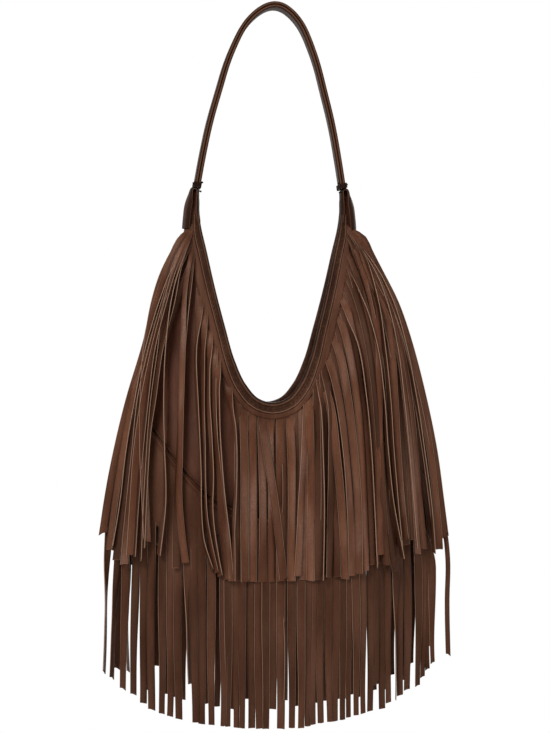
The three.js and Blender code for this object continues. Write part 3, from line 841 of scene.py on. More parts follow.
def lining_finish():
    """Plain woven lining cloth."""
    material, tree, shader, place = fresh_material("lining_cloth")
    threads = []
    for direction in ("X", "Z"):
        wave = node(tree, "ShaderNodeTexWave", Scale=380, Distortion=0.4)
        wave.bands_direction = direction
        link(tree, place, wave.inputs["Vector"])
        threads.append(wave.outputs["Fac"])
    weave = blended(tree, "MIX", 0.5, threads[0], threads[1])
    clouds = ramp(tree, noise(tree, place, 30), ((0.3, srgb(52, 35, 26)), (0.7, srgb(66, 46, 35))))
    shaded = spread(tree, weave, 0, 1, 0.8, 1.15)
    link(tree, blended(tree, "MULTIPLY", 1.0, clouds, shaded), shader.inputs["Base Color"])
    embossed(tree, shader, weave, 0.4, 0.0002)
    shader.inputs["Roughness"].default_value = 0.85
    shader.inputs["Sheen Weight"].default_value = 0.15
    return material


# The strap, its tabs and its lashings


def strap_line():
    """The middle of the strap, from its left end over the crown to its right end."""
    sides = {}
    for side in (-1, 1):
        points = []
        for across, down in STRAP_SHAPE:
            reach = mix(CROWN_SHIFT * side, STRAP_SPAN / 2, across)
            points.append((side * reach, STRAP_RISE - STRAP_DROP * down))
        sides[side] = points
    whole = Line([*sides[-1], (CROWN_SHIFT, STRAP_RISE), *reversed(sides[1])])
    spots = whole.at(np.linspace(0, 1, 121))
    for _ in range(8):
        spots[1:-1] = (spots[:-2] + 2 * spots[1:-1] + spots[2:]) / 4
    return Line(spots)


STRAP_LINE = strap_line()
# A ply's section, as shares of half its width and half its thickness: a rounded edge, the
# furrow that its stitches lie in, and a small bevel where the two plies meet
FURROW = 0.755
PLY_SECTION = np.array((
    (1, -0.2), (0.985, 0.35), (0.94, 0.85), (0.88, 1), (0.8, 0.95), (FURROW, 0.72), (0.71, 0.95),
    (0.62, 1), (0, 1.05), (-0.62, 1), (-0.71, 0.95), (-FURROW, 0.72), (-0.8, 0.95), (-0.88, 1),
    (-0.94, 0.85), (-0.985, 0.35), (-1, -0.2), (-0.965, -0.65), (-0.9, -1), (-0.8, -1), (-0.7, -1),
    (-0.5, -1), (-0.3, -1), (0, -1), (0.3, -1), (0.5, -1), (0.7, -1), (0.8, -1), (0.9, -1),
    (0.965, -0.65),
))
STRAP_STITCH_STEP = 0.0038
STRAP_STITCH = 0.0029
STRAP_STITCH_SUNK = 0.0007
STRAP_STITCH_ENDS = 0.012


def strap_points(shares, rise):
    """Points on the strap at a rise out of its middle, and the directions out of it."""
    point = STRAP_LINE.at(shares)
    heading = STRAP_LINE.heading(shares)
    out = np.stack((-heading[:, 1], np.zeros(len(shares)), heading[:, 0]), axis=1)
    middle = np.stack((point[:, 0], np.zeros(len(shares)), point[:, 1]), axis=1)
    return middle + out * rise, out


def strap_turn(shares):
    return math.radians(STRAP_TWIST) * ease_in(shares, 0.4, 0.7)


def make_strap(leather):
    """Two plies, back to back, each carried along the arch."""
    shares = np.linspace(0, 1, 130)
    for name, side in (("strap_outer_ply", 1), ("strap_inner_ply", -1)):
        path, out = strap_points(shares, STRAP_PLY / 2 * side)
        pile = Pile()
        add_strip(
            pile, path, out * side, STRAP_WIDTH, STRAP_PLY, strap_turn(shares), section=PLY_SECTION)
        ply = dress(pile.make(name.replace("ply", "leather"), leather), "strap_leather", name)


def make_strap_stitches(thread):
    """A row of stitches in each furrow of both plies."""
    pile = Pile()
    ends = STRAP_STITCH_ENDS
    count = int(STRAP_LINE.length * (1 - 2 * ends) / STRAP_STITCH_STEP)
    shares = np.linspace(ends, 1 - ends, count)
    lean = np.sin(strap_turn(shares))[:, None]
    for side in (1, -1):
        line, out = strap_points(shares, side * (STRAP_PLY - STRAP_STITCH_SUNK))
        for row in (-1, 1):
            reach = row * STRAP_WIDTH / 2 * FURROW
            moved = line + np.array((0, reach, 0)) - out * reach * lean
            add_stitches(pile, moved, out * side, STRAP_STITCH, THREAD)
    dress(pile.make("strap_stitches", thread), "thread")


def tab_line():
    """The right tab's middle, from its outer foot over the peak to its inner foot."""
    seat = EASE + TAB_LEATHER / 2
    points = []
    for share in (0, 0.35, 0.7, 1):
        drop = mix(TAB_OUTER_DROP, PEAK_DROP, share)
        points.append((float(half_width(drop)) + seat, -drop))
    crown = STRAP_DROP - STRAP_RISE + TAB_LEATHER / 2 + EASE
    for share in (0.72, 0.28):
        points.append((mix(MOUTH_SPAN / 2, PEAK_REACH, share), -crown))
    for share in (0.15, 0.6, 1):
        drop = mix(PEAK_DROP, TAB_INNER_DROP, share)
        across, _ = beside_mouth(mouth_share_at(drop), TAB_INNER_SEAT)
        points.append((-float(across), -drop))
    return Line(points)


def make_tabs(leather):
    """The tabs wrap round the peaks, their outer legs most."""
    line = tab_line()
    count = 90
    shares = np.linspace(0, 1, count)
    outer = 1 - ease_in(shares, 0.3, 0.5)
    inner = ease_in(shares, 0.6, 0.8)
    wrap = 0.3 + 0.75 * outer + 0.3 * inner
    narrow = mix(1, 0.82, 1 - outer)
    for name, side in (("tab_left", -1), ("tab_right", 1)):
        point = line.at(shares)
        heading = line.heading(shares)
        path = np.stack((side * point[:, 0], np.zeros(count), point[:, 1]), axis=1)
        out = np.stack((side * heading[:, 1], np.zeros(count), -heading[:, 0]), axis=1)
        pile = Pile()
        add_strip(
            pile, path, out, TAB_WIDTH * narrow, TAB_LEATHER, wrap=wrap, tone=TAB_TONE,
            section=PLY_SECTION)
        tab = dress(pile.make(name, leather), "strap_leather", "strap_" + name)


ROUND_SECTION = np.array([(math.cos(a), math.sin(a)) for a in np.arange(8) * math.pi / 4])
LASHING_RADIUS = 0.00045
LASHING_TURNS = 5
# How low the winding starts, and how square it lies round the strap: 1 would be an ellipse
LASHING_START = -0.0018
LASHING_SQUARENESS = 0.22
# The stubs of the knots: the side that each stands out on, and its height on the strap
KNOT_RADIUS = 0.0008
KNOTS = ((1, 0.0016), (-1, 0.0036), (-1, -0.0046))
KNOT_LENGTH = 0.0021
KNOT_SUNK = 0.001
KNOT_FORWARD = 0.007


def wound(angles, half_over, half_side):
    """A winding's reach across the plies and along their width, at each angle."""
    cosine, sine = np.cos(angles), np.sin(angles)
    wide = np.sign(cosine) * np.abs(cosine) ** LASHING_SQUARENESS * half_over
    deep = np.sign(sine) * np.abs(sine) ** LASHING_SQUARENESS * half_side
    return wide[:, None], deep[:, None]


def make_lashings(thread):
    """Thread wound round each strap end, with the stubs of its knots."""
    for name, share, way in (("lashing_left", 0.0, 1), ("lashing_right", 1.0, -1)):
        start = STRAP_LINE.at(share)
        heading = STRAP_LINE.heading(share) * way
        origin = np.array((start[0], 0, start[1]))
        along = np.array((heading[0], 0, heading[1]))
        over = np.array((-heading[1], 0, heading[0])) * way
        sideways = np.array((0, 1.0, 0))
        half_over = STRAP_PLY + LASHING_RADIUS
        half_side = STRAP_WIDTH / 2 + LASHING_RADIUS
        angles = np.linspace(0, 2 * math.pi * LASHING_TURNS, 24 * LASHING_TURNS + 1)
        wide, deep = wound(angles, half_over, half_side)
        climb = angles / (2 * math.pi) * 2 * LASHING_RADIUS + LASHING_START
        path = origin + wide * over + deep * sideways + climb[:, None] * along
        runs = [(path, LASHING_RADIUS)]
        for side, height in KNOTS:
            foot = origin + over * side * (half_over - KNOT_SUNK)
            foot = foot + along * height - sideways * KNOT_FORWARD
            tip = foot + over * side * KNOT_LENGTH - along * 0.0003 - sideways * 0.001
            middle = mix(foot, tip, 0.5) + along * 0.0003
            runs.append((np.array((foot, middle, tip)), KNOT_RADIUS))
        pile = Pile()
        for run, radius in runs:
            ahead = unit(np.gradient(run, axis=0))
            out = unit(np.cross(ahead, along + 0.3 * sideways))
            add_strip(pile, run, out, 2 * radius, 2 * radius, section=ROUND_SECTION)
        piece = pile.make(name.replace("lashing", "lashing_thread"), thread)
        dress(piece, "thread", name)


# The pouch, its lining and the binding of its mouth

MOUTH_SEAT = 0.0018
PEAK_RISE = 0.0052


def gathers(along, down):
    """Small folds where the leather is drawn together at the peaks."""
    ends = np.exp(-np.minimum(along, 1 - along) / 0.12) * np.exp(-down / 0.8)
    folds = np.sin(along * 190 + 3 * down) * 0.5 + np.sin(along * 97 + 1.7) * 0.5
    return ends * folds


def dents(across, drop, facing):
    """The soft hollows of an empty bag."""
    slow = np.sin(across * 46 + 1.3 * facing) * np.sin(drop * 33 + 0.6)
    quick = np.sin(across * 88 - drop * 61) * np.sin(drop * 71 + across * 23)
    return 0.6 * slow + 0.4 * quick


def panel_places(rows, columns):
    """A grid of places over a panel, from the mouth down to the sewn edge."""
    along = np.linspace(0, 1, columns)
    down = np.linspace(0, 1, rows)[:, None]
    top_across, top_drop = beside_mouth(along, MOUTH_SEAT)
    low = OUTLINE.at(along)
    across = mix(top_across[None], low[:, 0][None], down)
    drop = mix(top_drop[None], low[:, 1][None], down)
    near_peak = 1 - ease_in(drop, PEAK_DROP, PEAK_DROP + 0.012)
    middle = np.sign(across) * (MOUTH_SPAN / 2 + PEAK_WIDTH / 2)
    across = mix(across, middle, 0.3 * near_peak)
    drop = drop - PEAK_RISE * near_peak
    return across, drop, np.broadcast_to(along, across.shape), np.broadcast_to(down, across.shape)


def points_at(across, drop, stand, facing):
    return np.stack((across, facing * stand, -drop), axis=-1)


def make_pouch(leather):
    for name, facing in (("pouch_front", FRONT), ("pouch_back", BACK)):
        across, drop, along, down = panel_places(70, 150)
        stand = pouch_stand(across, drop)
        free = np.sin(down * math.pi) ** 0.7
        soft = free * (0.0007 * dents(across, drop, facing) - 0.0005)
        soft = soft + 0.0006 * free * gathers(along, down)
        outer = points_at(across, drop, stand + soft, facing)
        inner = points_at(across, drop, stand + soft - LEATHER, facing)
        pile = Pile()
        add_sheet(pile, outer, inner, 0.42)
        panel = dress(pile.make(name.replace("pouch", "pouch_leather"), leather), "pouch_leather", name)


def make_lining(cloth):
    for name, facing in (("lining_front", FRONT), ("lining_back", BACK)):
        across, drop, _, down = panel_places(60, 120)
        free = np.sin(down * math.pi) ** 0.5
        room = np.minimum(0.003, np.maximum(0, pouch_stand(across, drop) - SEAM_STAND) * 0.25)
        wrinkles = np.sin(across * 210 + 2 * np.sin(drop * 60)) * np.sin(drop * 120 + across * 40)
        slack = free * room * (0.5 + 0.3 * wrinkles)
        stand = pouch_stand(across, drop) - LEATHER - CLEARANCE - slack
        outer = points_at(across, drop, stand, facing)
        inner = points_at(across, drop, stand - LINING - CLEARANCE / 2 * (1 - free), facing)
        pile = Pile()
        add_sheet(pile, outer, inner, 0.5)
        panel = dress(pile.make(name.replace("lining", "lining_cloth"), cloth), "lining_cloth", name)


# The binding's section: distance out from the mouth's edge, and rise over the pouch's face
BINDING_OUTSIDE = (
    (0.0096, 0.0007), (0.0095, 0.0017), (0.0091, 0.0024), (0.0086, 0.0026), (0.0081, 0.0022),
    (0.0076, 0.0013), (0.0066, 0.0013), (0.0054, 0.0012), (0.0044, 0.0010), (0.0034, 0.0013),
    (0.0028, 0.0021), (0.0021, 0.0025), (0.0014, 0.0023), (0.0005, 0.0018), (-0.0004, 0.0008),
    (-0.0006, -0.0004),
)
BINDING_STACK = LEATHER + CLEARANCE + LINING
BINDING_STITCH_STEP = 0.0034
BINDING_STITCH = 0.0024
BINDING_STITCH_REACH = 0.0056
BINDING_STITCH_RISE = 0.0012
BINDING_STITCH_ENDS = 0.012


def binding_reach(share):
    """The binding narrows up the sides of the mouth, and again at its ends."""
    side = np.minimum(share, 1 - share)
    return mix(0.78, 1, ease_in(side, 0.3, 0.45)) * mix(0.6, 1, ease_in(side, 0.03, 0.1))


def binding_section():
    inside = -BINDING_STACK - EASE - BINDING_PLY
    low = ((-0.0004, -0.0022), (0.0003, inside + 0.0003), (0.0012, inside), (0.0055, inside))
    tip = ((BINDING_INNER_WIDTH, inside + 0.0004), (BINDING_INNER_WIDTH, inside + BINDING_PLY))
    within = ((0.0014, inside + BINDING_PLY), (0.0014, EASE), (0.0092, EASE))
    return np.array((*BINDING_OUTSIDE, *low, *tip, *within))


BINDING_START = mouth_share_at(BINDING_TOP_DROP)


def make_binding(leather):
    """A band folded over the mouth's edge, with a rolled line along each side."""
    section = binding_section()
    count = 220
    shares = np.linspace(BINDING_START, 1 - BINDING_START, count)
    reach = section[None, :, 0] * binding_reach(shares)[:, None]
    for name, facing in (("binding_front", FRONT), ("binding_back", BACK)):
        across, drop = beside_mouth(shares[:, None], reach)
        puff = 1 + 0.05 * np.sin(shares[:, None] * 260) * (section[None, :, 1] > 0)
        stand = pouch_stand(across, drop) + section[None, :, 1] * puff
        points = points_at(across, drop, stand, facing)
        grid = np.arange(count * len(section)).reshape(count, len(section))
        ahead = np.roll(grid, -1, axis=1)
        sides = np.stack((grid[:-1], ahead[:-1], ahead[1:], grid[1:]), -1).reshape(-1, 4)
        outside = np.arange(len(section)) < len(BINDING_OUTSIDE)
        share = np.broadcast_to(np.where(outside, section[:, 0] / BINDING_WIDTH, 0.5), grid.shape)
        run = np.broadcast_to(shares[:, None] * NECK.length, grid.shape)
        pile = Pile()
        pile.add(points, sides, np.stack((share, run), -1), 0.5)
        for end in (grid[:1], grid[-1:]):
            pile.faces.append(end)
        band = pile.make(name.replace("binding", "mouth_binding"), leather)
        dress(band, "binding_leather", name)


def make_binding_stitches(thread):
    """A row of stitches along the middle of the binding, on both sides of the bag."""
    pile = Pile()
    start = BINDING_START + BINDING_STITCH_ENDS
    shares = np.linspace(start, 1 - start, int(NECK.length * 0.85 / BINDING_STITCH_STEP))
    for facing in (FRONT, BACK):
        across, drop = beside_mouth(shares, BINDING_STITCH_REACH * binding_reach(shares))
        line = points_at(across, drop, pouch_stand(across, drop) + BINDING_STITCH_RISE, facing)
        outs = outward(pouch_stand, across, drop, facing)
        add_stitches(pile, line, outs, BINDING_STITCH, THREAD)
    dress(pile.make("binding_stitches", thread), "thread")


# The fringes


class Lay:
    """How far out the outermost leather stands on one side of the bag, in small cells."""

    CELL = 0.001
    SIDE = 0.19
    TOP = 0.16
    LOW = 0.67

    def __init__(self):
        self.across = np.arange(-self.SIDE, self.SIDE, self.CELL)
        self.drop = np.arange(self.TOP, self.LOW, self.CELL)
        across, drop = np.meshgrid(self.across, self.drop, indexing="ij")
        below = drop > POUCH_DROP
        pouch = np.where(below, SEAM_STAND, pouch_stand(across, drop))
        self.base = np.maximum(pouch, fringe_stand(across, drop)) + EASE
        self.height = self.base.copy()

    def cells(self, across, drop):
        i = np.clip(np.rint((across + self.SIDE) / self.CELL), 0, len(self.across) - 1)
        j = np.clip(np.rint((drop - self.TOP) / self.CELL), 0, len(self.drop) - 1)
        return i.astype(int), j.astype(int)

    def under(self, across, drop):
        """Many layers press each other thinner, so that a pile of them never stands far out."""
        cells = self.cells(across, drop)
        base = self.base[cells]
        return base + PRESSED * (1 - np.exp((base - self.height[cells]) / PRESSED))

    def cover(self, across, drop, stand):
        np.maximum.at(self.height, self.cells(across, drop), stand)


# The height that a deep pile of strips comes to, and how steeply a strip may come down from
# what is under it, or climb onto it
PRESSED = 0.0055
FALL = 0.16
CLIMB = 0.7


def settle(needed, gap):
    """Lays a line over the stands under it as leather would, without sharp kinks."""
    wide = 2
    padded = np.pad(needed, wide, mode="edge")
    raised = np.max([padded[i:i + len(needed)] for i in range(2 * wide + 1)], axis=0)
    padded = np.pad(raised, wide, mode="edge")
    weights = np.array((1, 2, 3, 2, 1)) / 9
    smooth = sum(w * padded[i:i + len(needed)] for i, w in enumerate(weights))
    for i in range(1, len(smooth)):
        smooth[i] = max(smooth[i], smooth[i - 1] - FALL * gap)
    for i in range(len(smooth) - 2, -1, -1):
        smooth[i] = max(smooth[i], smooth[i + 1] - CLIMB * gap)
    return smooth


# The shares of half a strip's width at which it feels what is under it
FOOTPRINT = np.linspace(-0.62, 0.62, 5)


def hang_strip(lay, place_at, root_stand, count, width, turn):
    """The places and stands of a strip that hangs over what is already there.

    place_at gives (across, drop) of its stations for their stands.
    """
    stand = np.full(count, root_stand)
    for _ in range(4):
        across, drop = place_at(stand)
        gap = math.hypot(across[-1] - across[0], drop[-1] - drop[0]) / (count - 1)
        way = unit(np.gradient(np.stack((across, drop), axis=1), axis=0))
        flat = np.cos(turn) * width / 2
        beside = FOOTPRINT * flat[:, None]
        side_across = across[:, None] - way[:, 1:] * beside
        side_drop = drop[:, None] + way[:, :1] * beside
        under = lay.under(side_across, side_drop).max(axis=1)
        rise = STRIP_LEATHER * 0.62 + np.abs(np.sin(turn)) * width * 0.42
        settled = settle(under + rise, gap)
        run = np.linspace(0, gap * (count - 1), count)
        stand = mix(root_stand, settled, ease_in(run, 0.003, 0.022))
    return across, drop, stand


def cover_strip(lay, across, drop, stand, width, turn):
    """Marks the cells that a hung strip covers."""
    fine = np.linspace(0, len(across) - 1, 6 * len(across))
    index = np.arange(len(across))
    lines = (across, drop, stand, turn, width)
    across, drop, stand, turn, width = (np.interp(fine, index, line) for line in lines)
    way = unit(np.gradient(np.stack((across, drop), axis=1), axis=0))
    shares = np.linspace(-0.85, 0.85, 9)
    flat = (np.cos(turn) * width / 2)[:, None] * shares
    lift = (np.abs(np.sin(turn)) * width / 2)[:, None] * np.abs(shares)
    top = stand[:, None] + STRIP_LEATHER / 2 + lift
    lay.cover(across[:, None] + way[:, 1:] * flat, drop[:, None] - way[:, :1] * flat, top)


def stations(count):
    """Even shares of a strip's length, with a last short stretch for its cut end."""
    return np.append(np.linspace(0, 0.9975, count - 1), 1.0)


UPPER_STATIONS = 48
# The band beside the binding is darker: painted shade under the binding's edge
BAND_SHADE_TONE = 0.3
CUT_END_TONE = 1.0
# The strips behind and between neighbours are dark: painted shade
BETWEEN_SHADE_TONE = 0.22
# A strip's root lies this far inside the band, and the next point of its route that counts is
# at least the gap away
ROOT_DEPTH = 0.003
ROOT_GAP = 0.006
ROOT_SHARES = np.linspace(BAND_START + 0.004, 1 - BAND_START - 0.004, 500)
# A first guess of how far the strips stand from the middle plane
USUAL_STAND = 0.03
# The rows of pixels between which the upper strips hang
TOP_ROW = 230
FOOT_ROW = 580
# The strips that hang nearer to the picture's middle than the first lie flat and even, and
# those past the second are the fans at the sides, in pixels
FAN_START = 40
FAN_FULL = 75
# The back's strips keep this much closer to the middle, in pixels
BACK_SHIFT = 3.4
# Pairs of neighbours that have one more strip behind and between them, darkened as painted shade
BETWEEN = (
    ("left_third", "left_dark"), ("left_fourth", "left_fifth"), ("left_light", "left_sixth"),
    ("right_1", "right_2"), ("right_2", "right_3"), ("right_3", "right_4"), ("right_4", "right_5"),
    ("right_5", "right_6"), ("right_6", "right_7"), ("right_7", "right_9"),
    ("right_9", "right_outer_5"), ("right_inner", "right_1"), ("right_5", "right_7"),
    ("middle_5", "middle_6"), ("middle_6", "middle_leaning"), ("middle_left", "middle_2"),
    ("middle_9", "right_inner"),
)


# How pale the strips are whose tone stands out, from 0 to 1: painted shade on the strips that lie in shadow,
# behind others or edge-on, and painted light on the brighter strips in the middle
STRIP_SHADE_AND_LIGHT_TONES = {
    "left_dark": 0.0, "left_crease_1": 0.05, "left_crease_2": 0.05, "left_crease_3": 0.1,
    "left_thin_low": 0.05, "left_hidden": 0.05, "left_sixth": 0.12, "left_light": 0.55,
    "left_outer": 0.5, "middle_left": 0.25, "middle_1": 0.5, "middle_2": 0.62, "middle_3": 0.55,
    "middle_4": 0.62, "middle_5": 0.55, "middle_crossing": 0.4, "middle_6": 0.78, "middle_7": 0.7,
    "middle_8": 0.9, "middle_leaning": 0.8, "middle_9": 0.18, "right_inner": 0.12, "right_1": 0.65,
    "right_2": 0.6, "right_7": 0.02, "right_8": 0.1, "right_hidden_1": 0.0, "right_hidden_2": 0.05,
    "right_crease_1": 0.1, "right_crease_3": 0.05,
}


def all_strips():
    """The strips between neighbours first, which are darkened as painted shade, then the table's own."""
    strips = []
    for one, other in BETWEEN:
        first, second = UPPER_STRIPS[one], UPPER_STRIPS[other]
        reach = min(first[3][-1][1], second[3][-1][1])
        start = max(first[3][0][1], second[3][0][1])
        rows = np.linspace(start, reach, 8)
        paths = [np.interp(rows, *reversed(np.array(strip[3], float).T)) for strip in (first, second)]
        middle = np.stack((mix(*paths, 0.5), rows), axis=1)
        strips.append((BETWEEN_SHADE_TONE, 8, -8, 0.1, middle))
    for name, strip in UPPER_STRIPS.items():
        strips.append((STRIP_SHADE_AND_LIGHT_TONES.get(name), *strip))
    return strips


def band_width(share):
    """The band is widest up the sides, and tapers where it meets the sewn edge."""
    side = np.minimum(share, 1 - share)
    taper = mix(0.3, 1, ease_in(side, BAND_START, 0.16))
    return BAND_WIDTH * mix(1.75, 1, ease_in(side, 0.3, 0.44)) * taper


def band_top(share):
    return BINDING_WIDTH * binding_reach(share) + CLEARANCE


def root_share(first, second):
    """Where a strip's first stretch, drawn on upwards, meets the band."""
    edge = band_top(ROOT_SHARES) + band_width(ROOT_SHARES) - ROOT_DEPTH
    meets = np.stack(beside_mouth(ROOT_SHARES, edge), axis=1)
    way = unit(first - second)
    gap = meets - first
    along = gap @ way
    aside = np.abs(gap[:, 0] * way[1] - gap[:, 1] * way[0])
    miss = aside + 0.15 * np.abs(along) + np.where(along < -0.014, 1, 0)
    return float(ROOT_SHARES[np.argmin(miss)])


def softened_fringe(across, drop):
    """The upper fringe's fall, which keeps its slope below the widest drop."""
    return fringe_stand(across, np.minimum(drop, WIDEST_DROP))


def strip_route(pixels, facing, count):
    """A strip's root on the band, and the function that gives its places for its stands."""
    near = np.stack(seen(pixels[:, 0], pixels[:, 1], -facing * USUAL_STAND), axis=1)
    share = root_share(near[0], near[1])
    edge = float(band_top(share) + band_width(share)) - ROOT_DEPTH
    root = np.array([float(value) for value in beside_mouth(share, edge)])
    way = unit(near[0] - near[1])
    kept = pixels[(root - near) @ way > ROOT_GAP]
    along = stations(count)
    rows = np.linspace(TOP_ROW, FOOT_ROW, count)

    def place_at(stand):
        middle = np.interp(kept[:, 1], rows, stand)
        points = np.stack(seen(kept[:, 0], kept[:, 1], -facing * middle), axis=1)
        whole = Line([root, *points], 200).at(along)
        return whole[:, 0], whole[:, 1]

    return share, root, place_at


def path_length(path):
    return np.linalg.norm(np.diff(path, axis=0), axis=1).sum()


def add_band(pile, facing):
    """The uncut band beside the binding, from which the strips hang. Returns its area."""
    shares = np.linspace(BAND_START, 1 - BAND_START, 170)
    rows = np.linspace(0, 1, 5)[:, None]
    reach = band_top(shares)[None] + band_width(shares)[None] * rows
    across, drop = beside_mouth(shares[None], reach)
    base = pouch_stand(across, drop) + EASE
    outer = points_at(across, drop, base + BAND_LEATHER, facing)
    # In the band's darker tone, painted shade under the binding
    add_sheet(pile, outer, points_at(across, drop, base, facing), BAND_SHADE_TONE)
    return BAND_WIDTH * NECK.length * (1 - 2 * BAND_START)


def upper_turns(along, top_turn, foot_turn, aside, chance):
    """How far a strip is turned on its own middle, from its root to its foot."""
    turns = np.radians(mix(top_turn, foot_turn, ease_in(along, 0.55, 1)))
    turns = turns * ease_in(along, 0.02, 0.2)
    wave = chance.uniform(3, 7)
    swing = np.sin(along * wave + chance.uniform(0, 6)) * ease_in(along, 0.1, 0.5)
    lean = math.radians(chance.choice((-1, 1)) * chance.uniform(8, 26)) * aside
    return turns + math.radians(12) * swing + lean * ease_in(along, 0.03, 0.2)


def hang_upper_strip(pile, lay, strip, facing, chance):
    """Adds one strip of the upper fringe over what hangs already, and returns its area."""
    own_tone, top_turn, foot_turn, slant, pixels = strip
    pixels = np.array(pixels, float)
    if facing == BACK:
        inwards = BACK_SHIFT * np.sign(PHOTO_CENTRE[0] - pixels[-1, 0])
        pixels[1:, 0] += inwards + chance.uniform(-1.5, 1.5)
        top_turn = top_turn * 0.6 + chance.uniform(-12, 12)
        foot_turn = foot_turn * 0.5
    along = stations(UPPER_STATIONS)
    aside = mix(0.35, 1, ease_in(abs(pixels[-1, 0] - PHOTO_CENTRE[0]), FAN_START, FAN_FULL))
    turns = upper_turns(along, top_turn, foot_turn, aside, chance)
    share, root, place_at = strip_route(pixels, facing, UPPER_STATIONS)
    bunched = 0.62 * (1 - ease_in(min(share, 1 - share), 0.06, 0.2)) * (1 - ease_in(along, 0.02, 0.3))
    width = STRIP_WIDTH * (1 - bunched)
    root_stand = float(pouch_stand(*root)) + EASE + BAND_LEATHER / 2
    across, drop, stand = hang_strip(lay, place_at, root_stand, UPPER_STATIONS, width, turns)
    cover_strip(lay, across, drop, stand, width, turns)
    path = points_at(across, drop, stand, facing)
    out = outward(softened_fringe, across, drop, facing, 0.35)
    wrap = chance.uniform(-0.5, 0.7) * ease_in(along, 0, 0.3) + 0.02
    foot = (slant, chance.uniform(-0.1, 0.1))
    tone = mix(0.48, chance.uniform(0.22, 0.8), aside)
    # A named strip takes its listed tone, which is painted shade on the dark ones and painted light on the
    # bright ones
    if own_tone is not None:
        tone = own_tone
    # A strip's root starts in the band's darker tone, painted shade under the binding
    tone = mix(BAND_SHADE_TONE, tone, ease_in(along, 0, 0.08))
    tone[-1] = CUT_END_TONE
    add_strip(pile, path, out, width, STRIP_LEATHER, turns, wrap, foot, tone)
    return STRIP_WIDTH * path_length(path)


def make_upper_fringe(leather):
    strips = all_strips()
    for name, facing in (("fringe_upper_front", FRONT), ("fringe_upper_back", BACK)):
        chance = np.random.default_rng(SEED + facing)
        lay = Lay()
        pile = Pile()
        area = add_band(pile, facing)
        for strip in strips:
            area += hang_upper_strip(pile, lay, strip, facing, chance)
        fringe = pile.make(name.replace("fringe_upper", "upper_fringe"), leather)
        dress(fringe, "fringe_leather", name)


# A lower strip fills its space at the top, and is as wide as it is seen at its foot
TOP_WIDTH = STRIP_WIDTH * 1.07
# A strip seen narrower than this, in pixels, is a whole one that is turned
THIN_STRIP = 4.5
# The feet are cut along the hem, so they slant more towards the sides
HEM_SLANT = 0.45
STRAY_SLANT = -1.0
# The outermost strips keep clear of the cut's corners, and each strip starts above the cut
CORNER = 0.003
ROOTED = 0.010
# The lower fringe is darker: painted shade from the upper fringe over it
LOWER_SHADE_TONE = 0.3
LOWER_STATIONS = 30
STRAY_STATIONS = 40
# How far out the strips that hang clear at the sides are
STRAY_STAND = 0.004
# The uncut leather between the seam and the cuts
UNCUT_AREA = 0.0137
SEAM_STITCHES = 92
SEAM_STITCH = 0.0028
SEAM_STITCH_DROP = 0.0032
SEAM_STITCH_SUNK = 0.0003
# The seam's rolled edge, its groove and its second roll: distance below its top, and rise
SEAM_FOLD = (
    (0, 0.0010), (0.0008, 0.0026), (0.0018, 0.0012), (0.0026, -0.0010), (0.0042, -0.0011),
    (0.0052, 0.0012), (0.0064, 0.0020), (0.0080, 0.0008), (0.0110, 0.0), (0.0130, 0.0),
    (0.0150, 0.0), (0.4, 0.0),
)


def lower_route(px, py, lean, facing):
    """A strip of the lower fringe, from the uncut leather straight down to its foot."""
    shares = stations(LOWER_STATIONS)
    reach = CUT_REACH - CORNER
    hung = 0.02
    for _ in range(3):
        foot_across, foot_drop = (float(value) for value in seen(px, py, -facing * hung))
        top_across = min(max(foot_across + lean * PHOTO_STEP, -reach), reach)
        hung = float(drape_stand(top_across, WIDEST_DROP)) + EASE + LEATHER / 2
    top_drop = float(cut_drop((top_across / CUT_REACH + 1) / 2)) - ROOTED
    swung = shares
    if foot_across > reach:
        swung = ease_in(shares, 0, 0.4)
    return mix(top_across, foot_across, swung), mix(top_drop, foot_drop, shares), hung


def stray_route(pixels, facing):
    """One of the two strips that hang clear at the sides."""
    pixels = np.array(pixels, float)
    across, drop = seen(pixels[:, 0], pixels[:, 1], -facing * STRAY_STAND)
    whole = Line(np.stack((across, drop), 1), 200).at(stations(STRAY_STATIONS))
    return whole[:, 0], whole[:, 1], STRAY_STAND


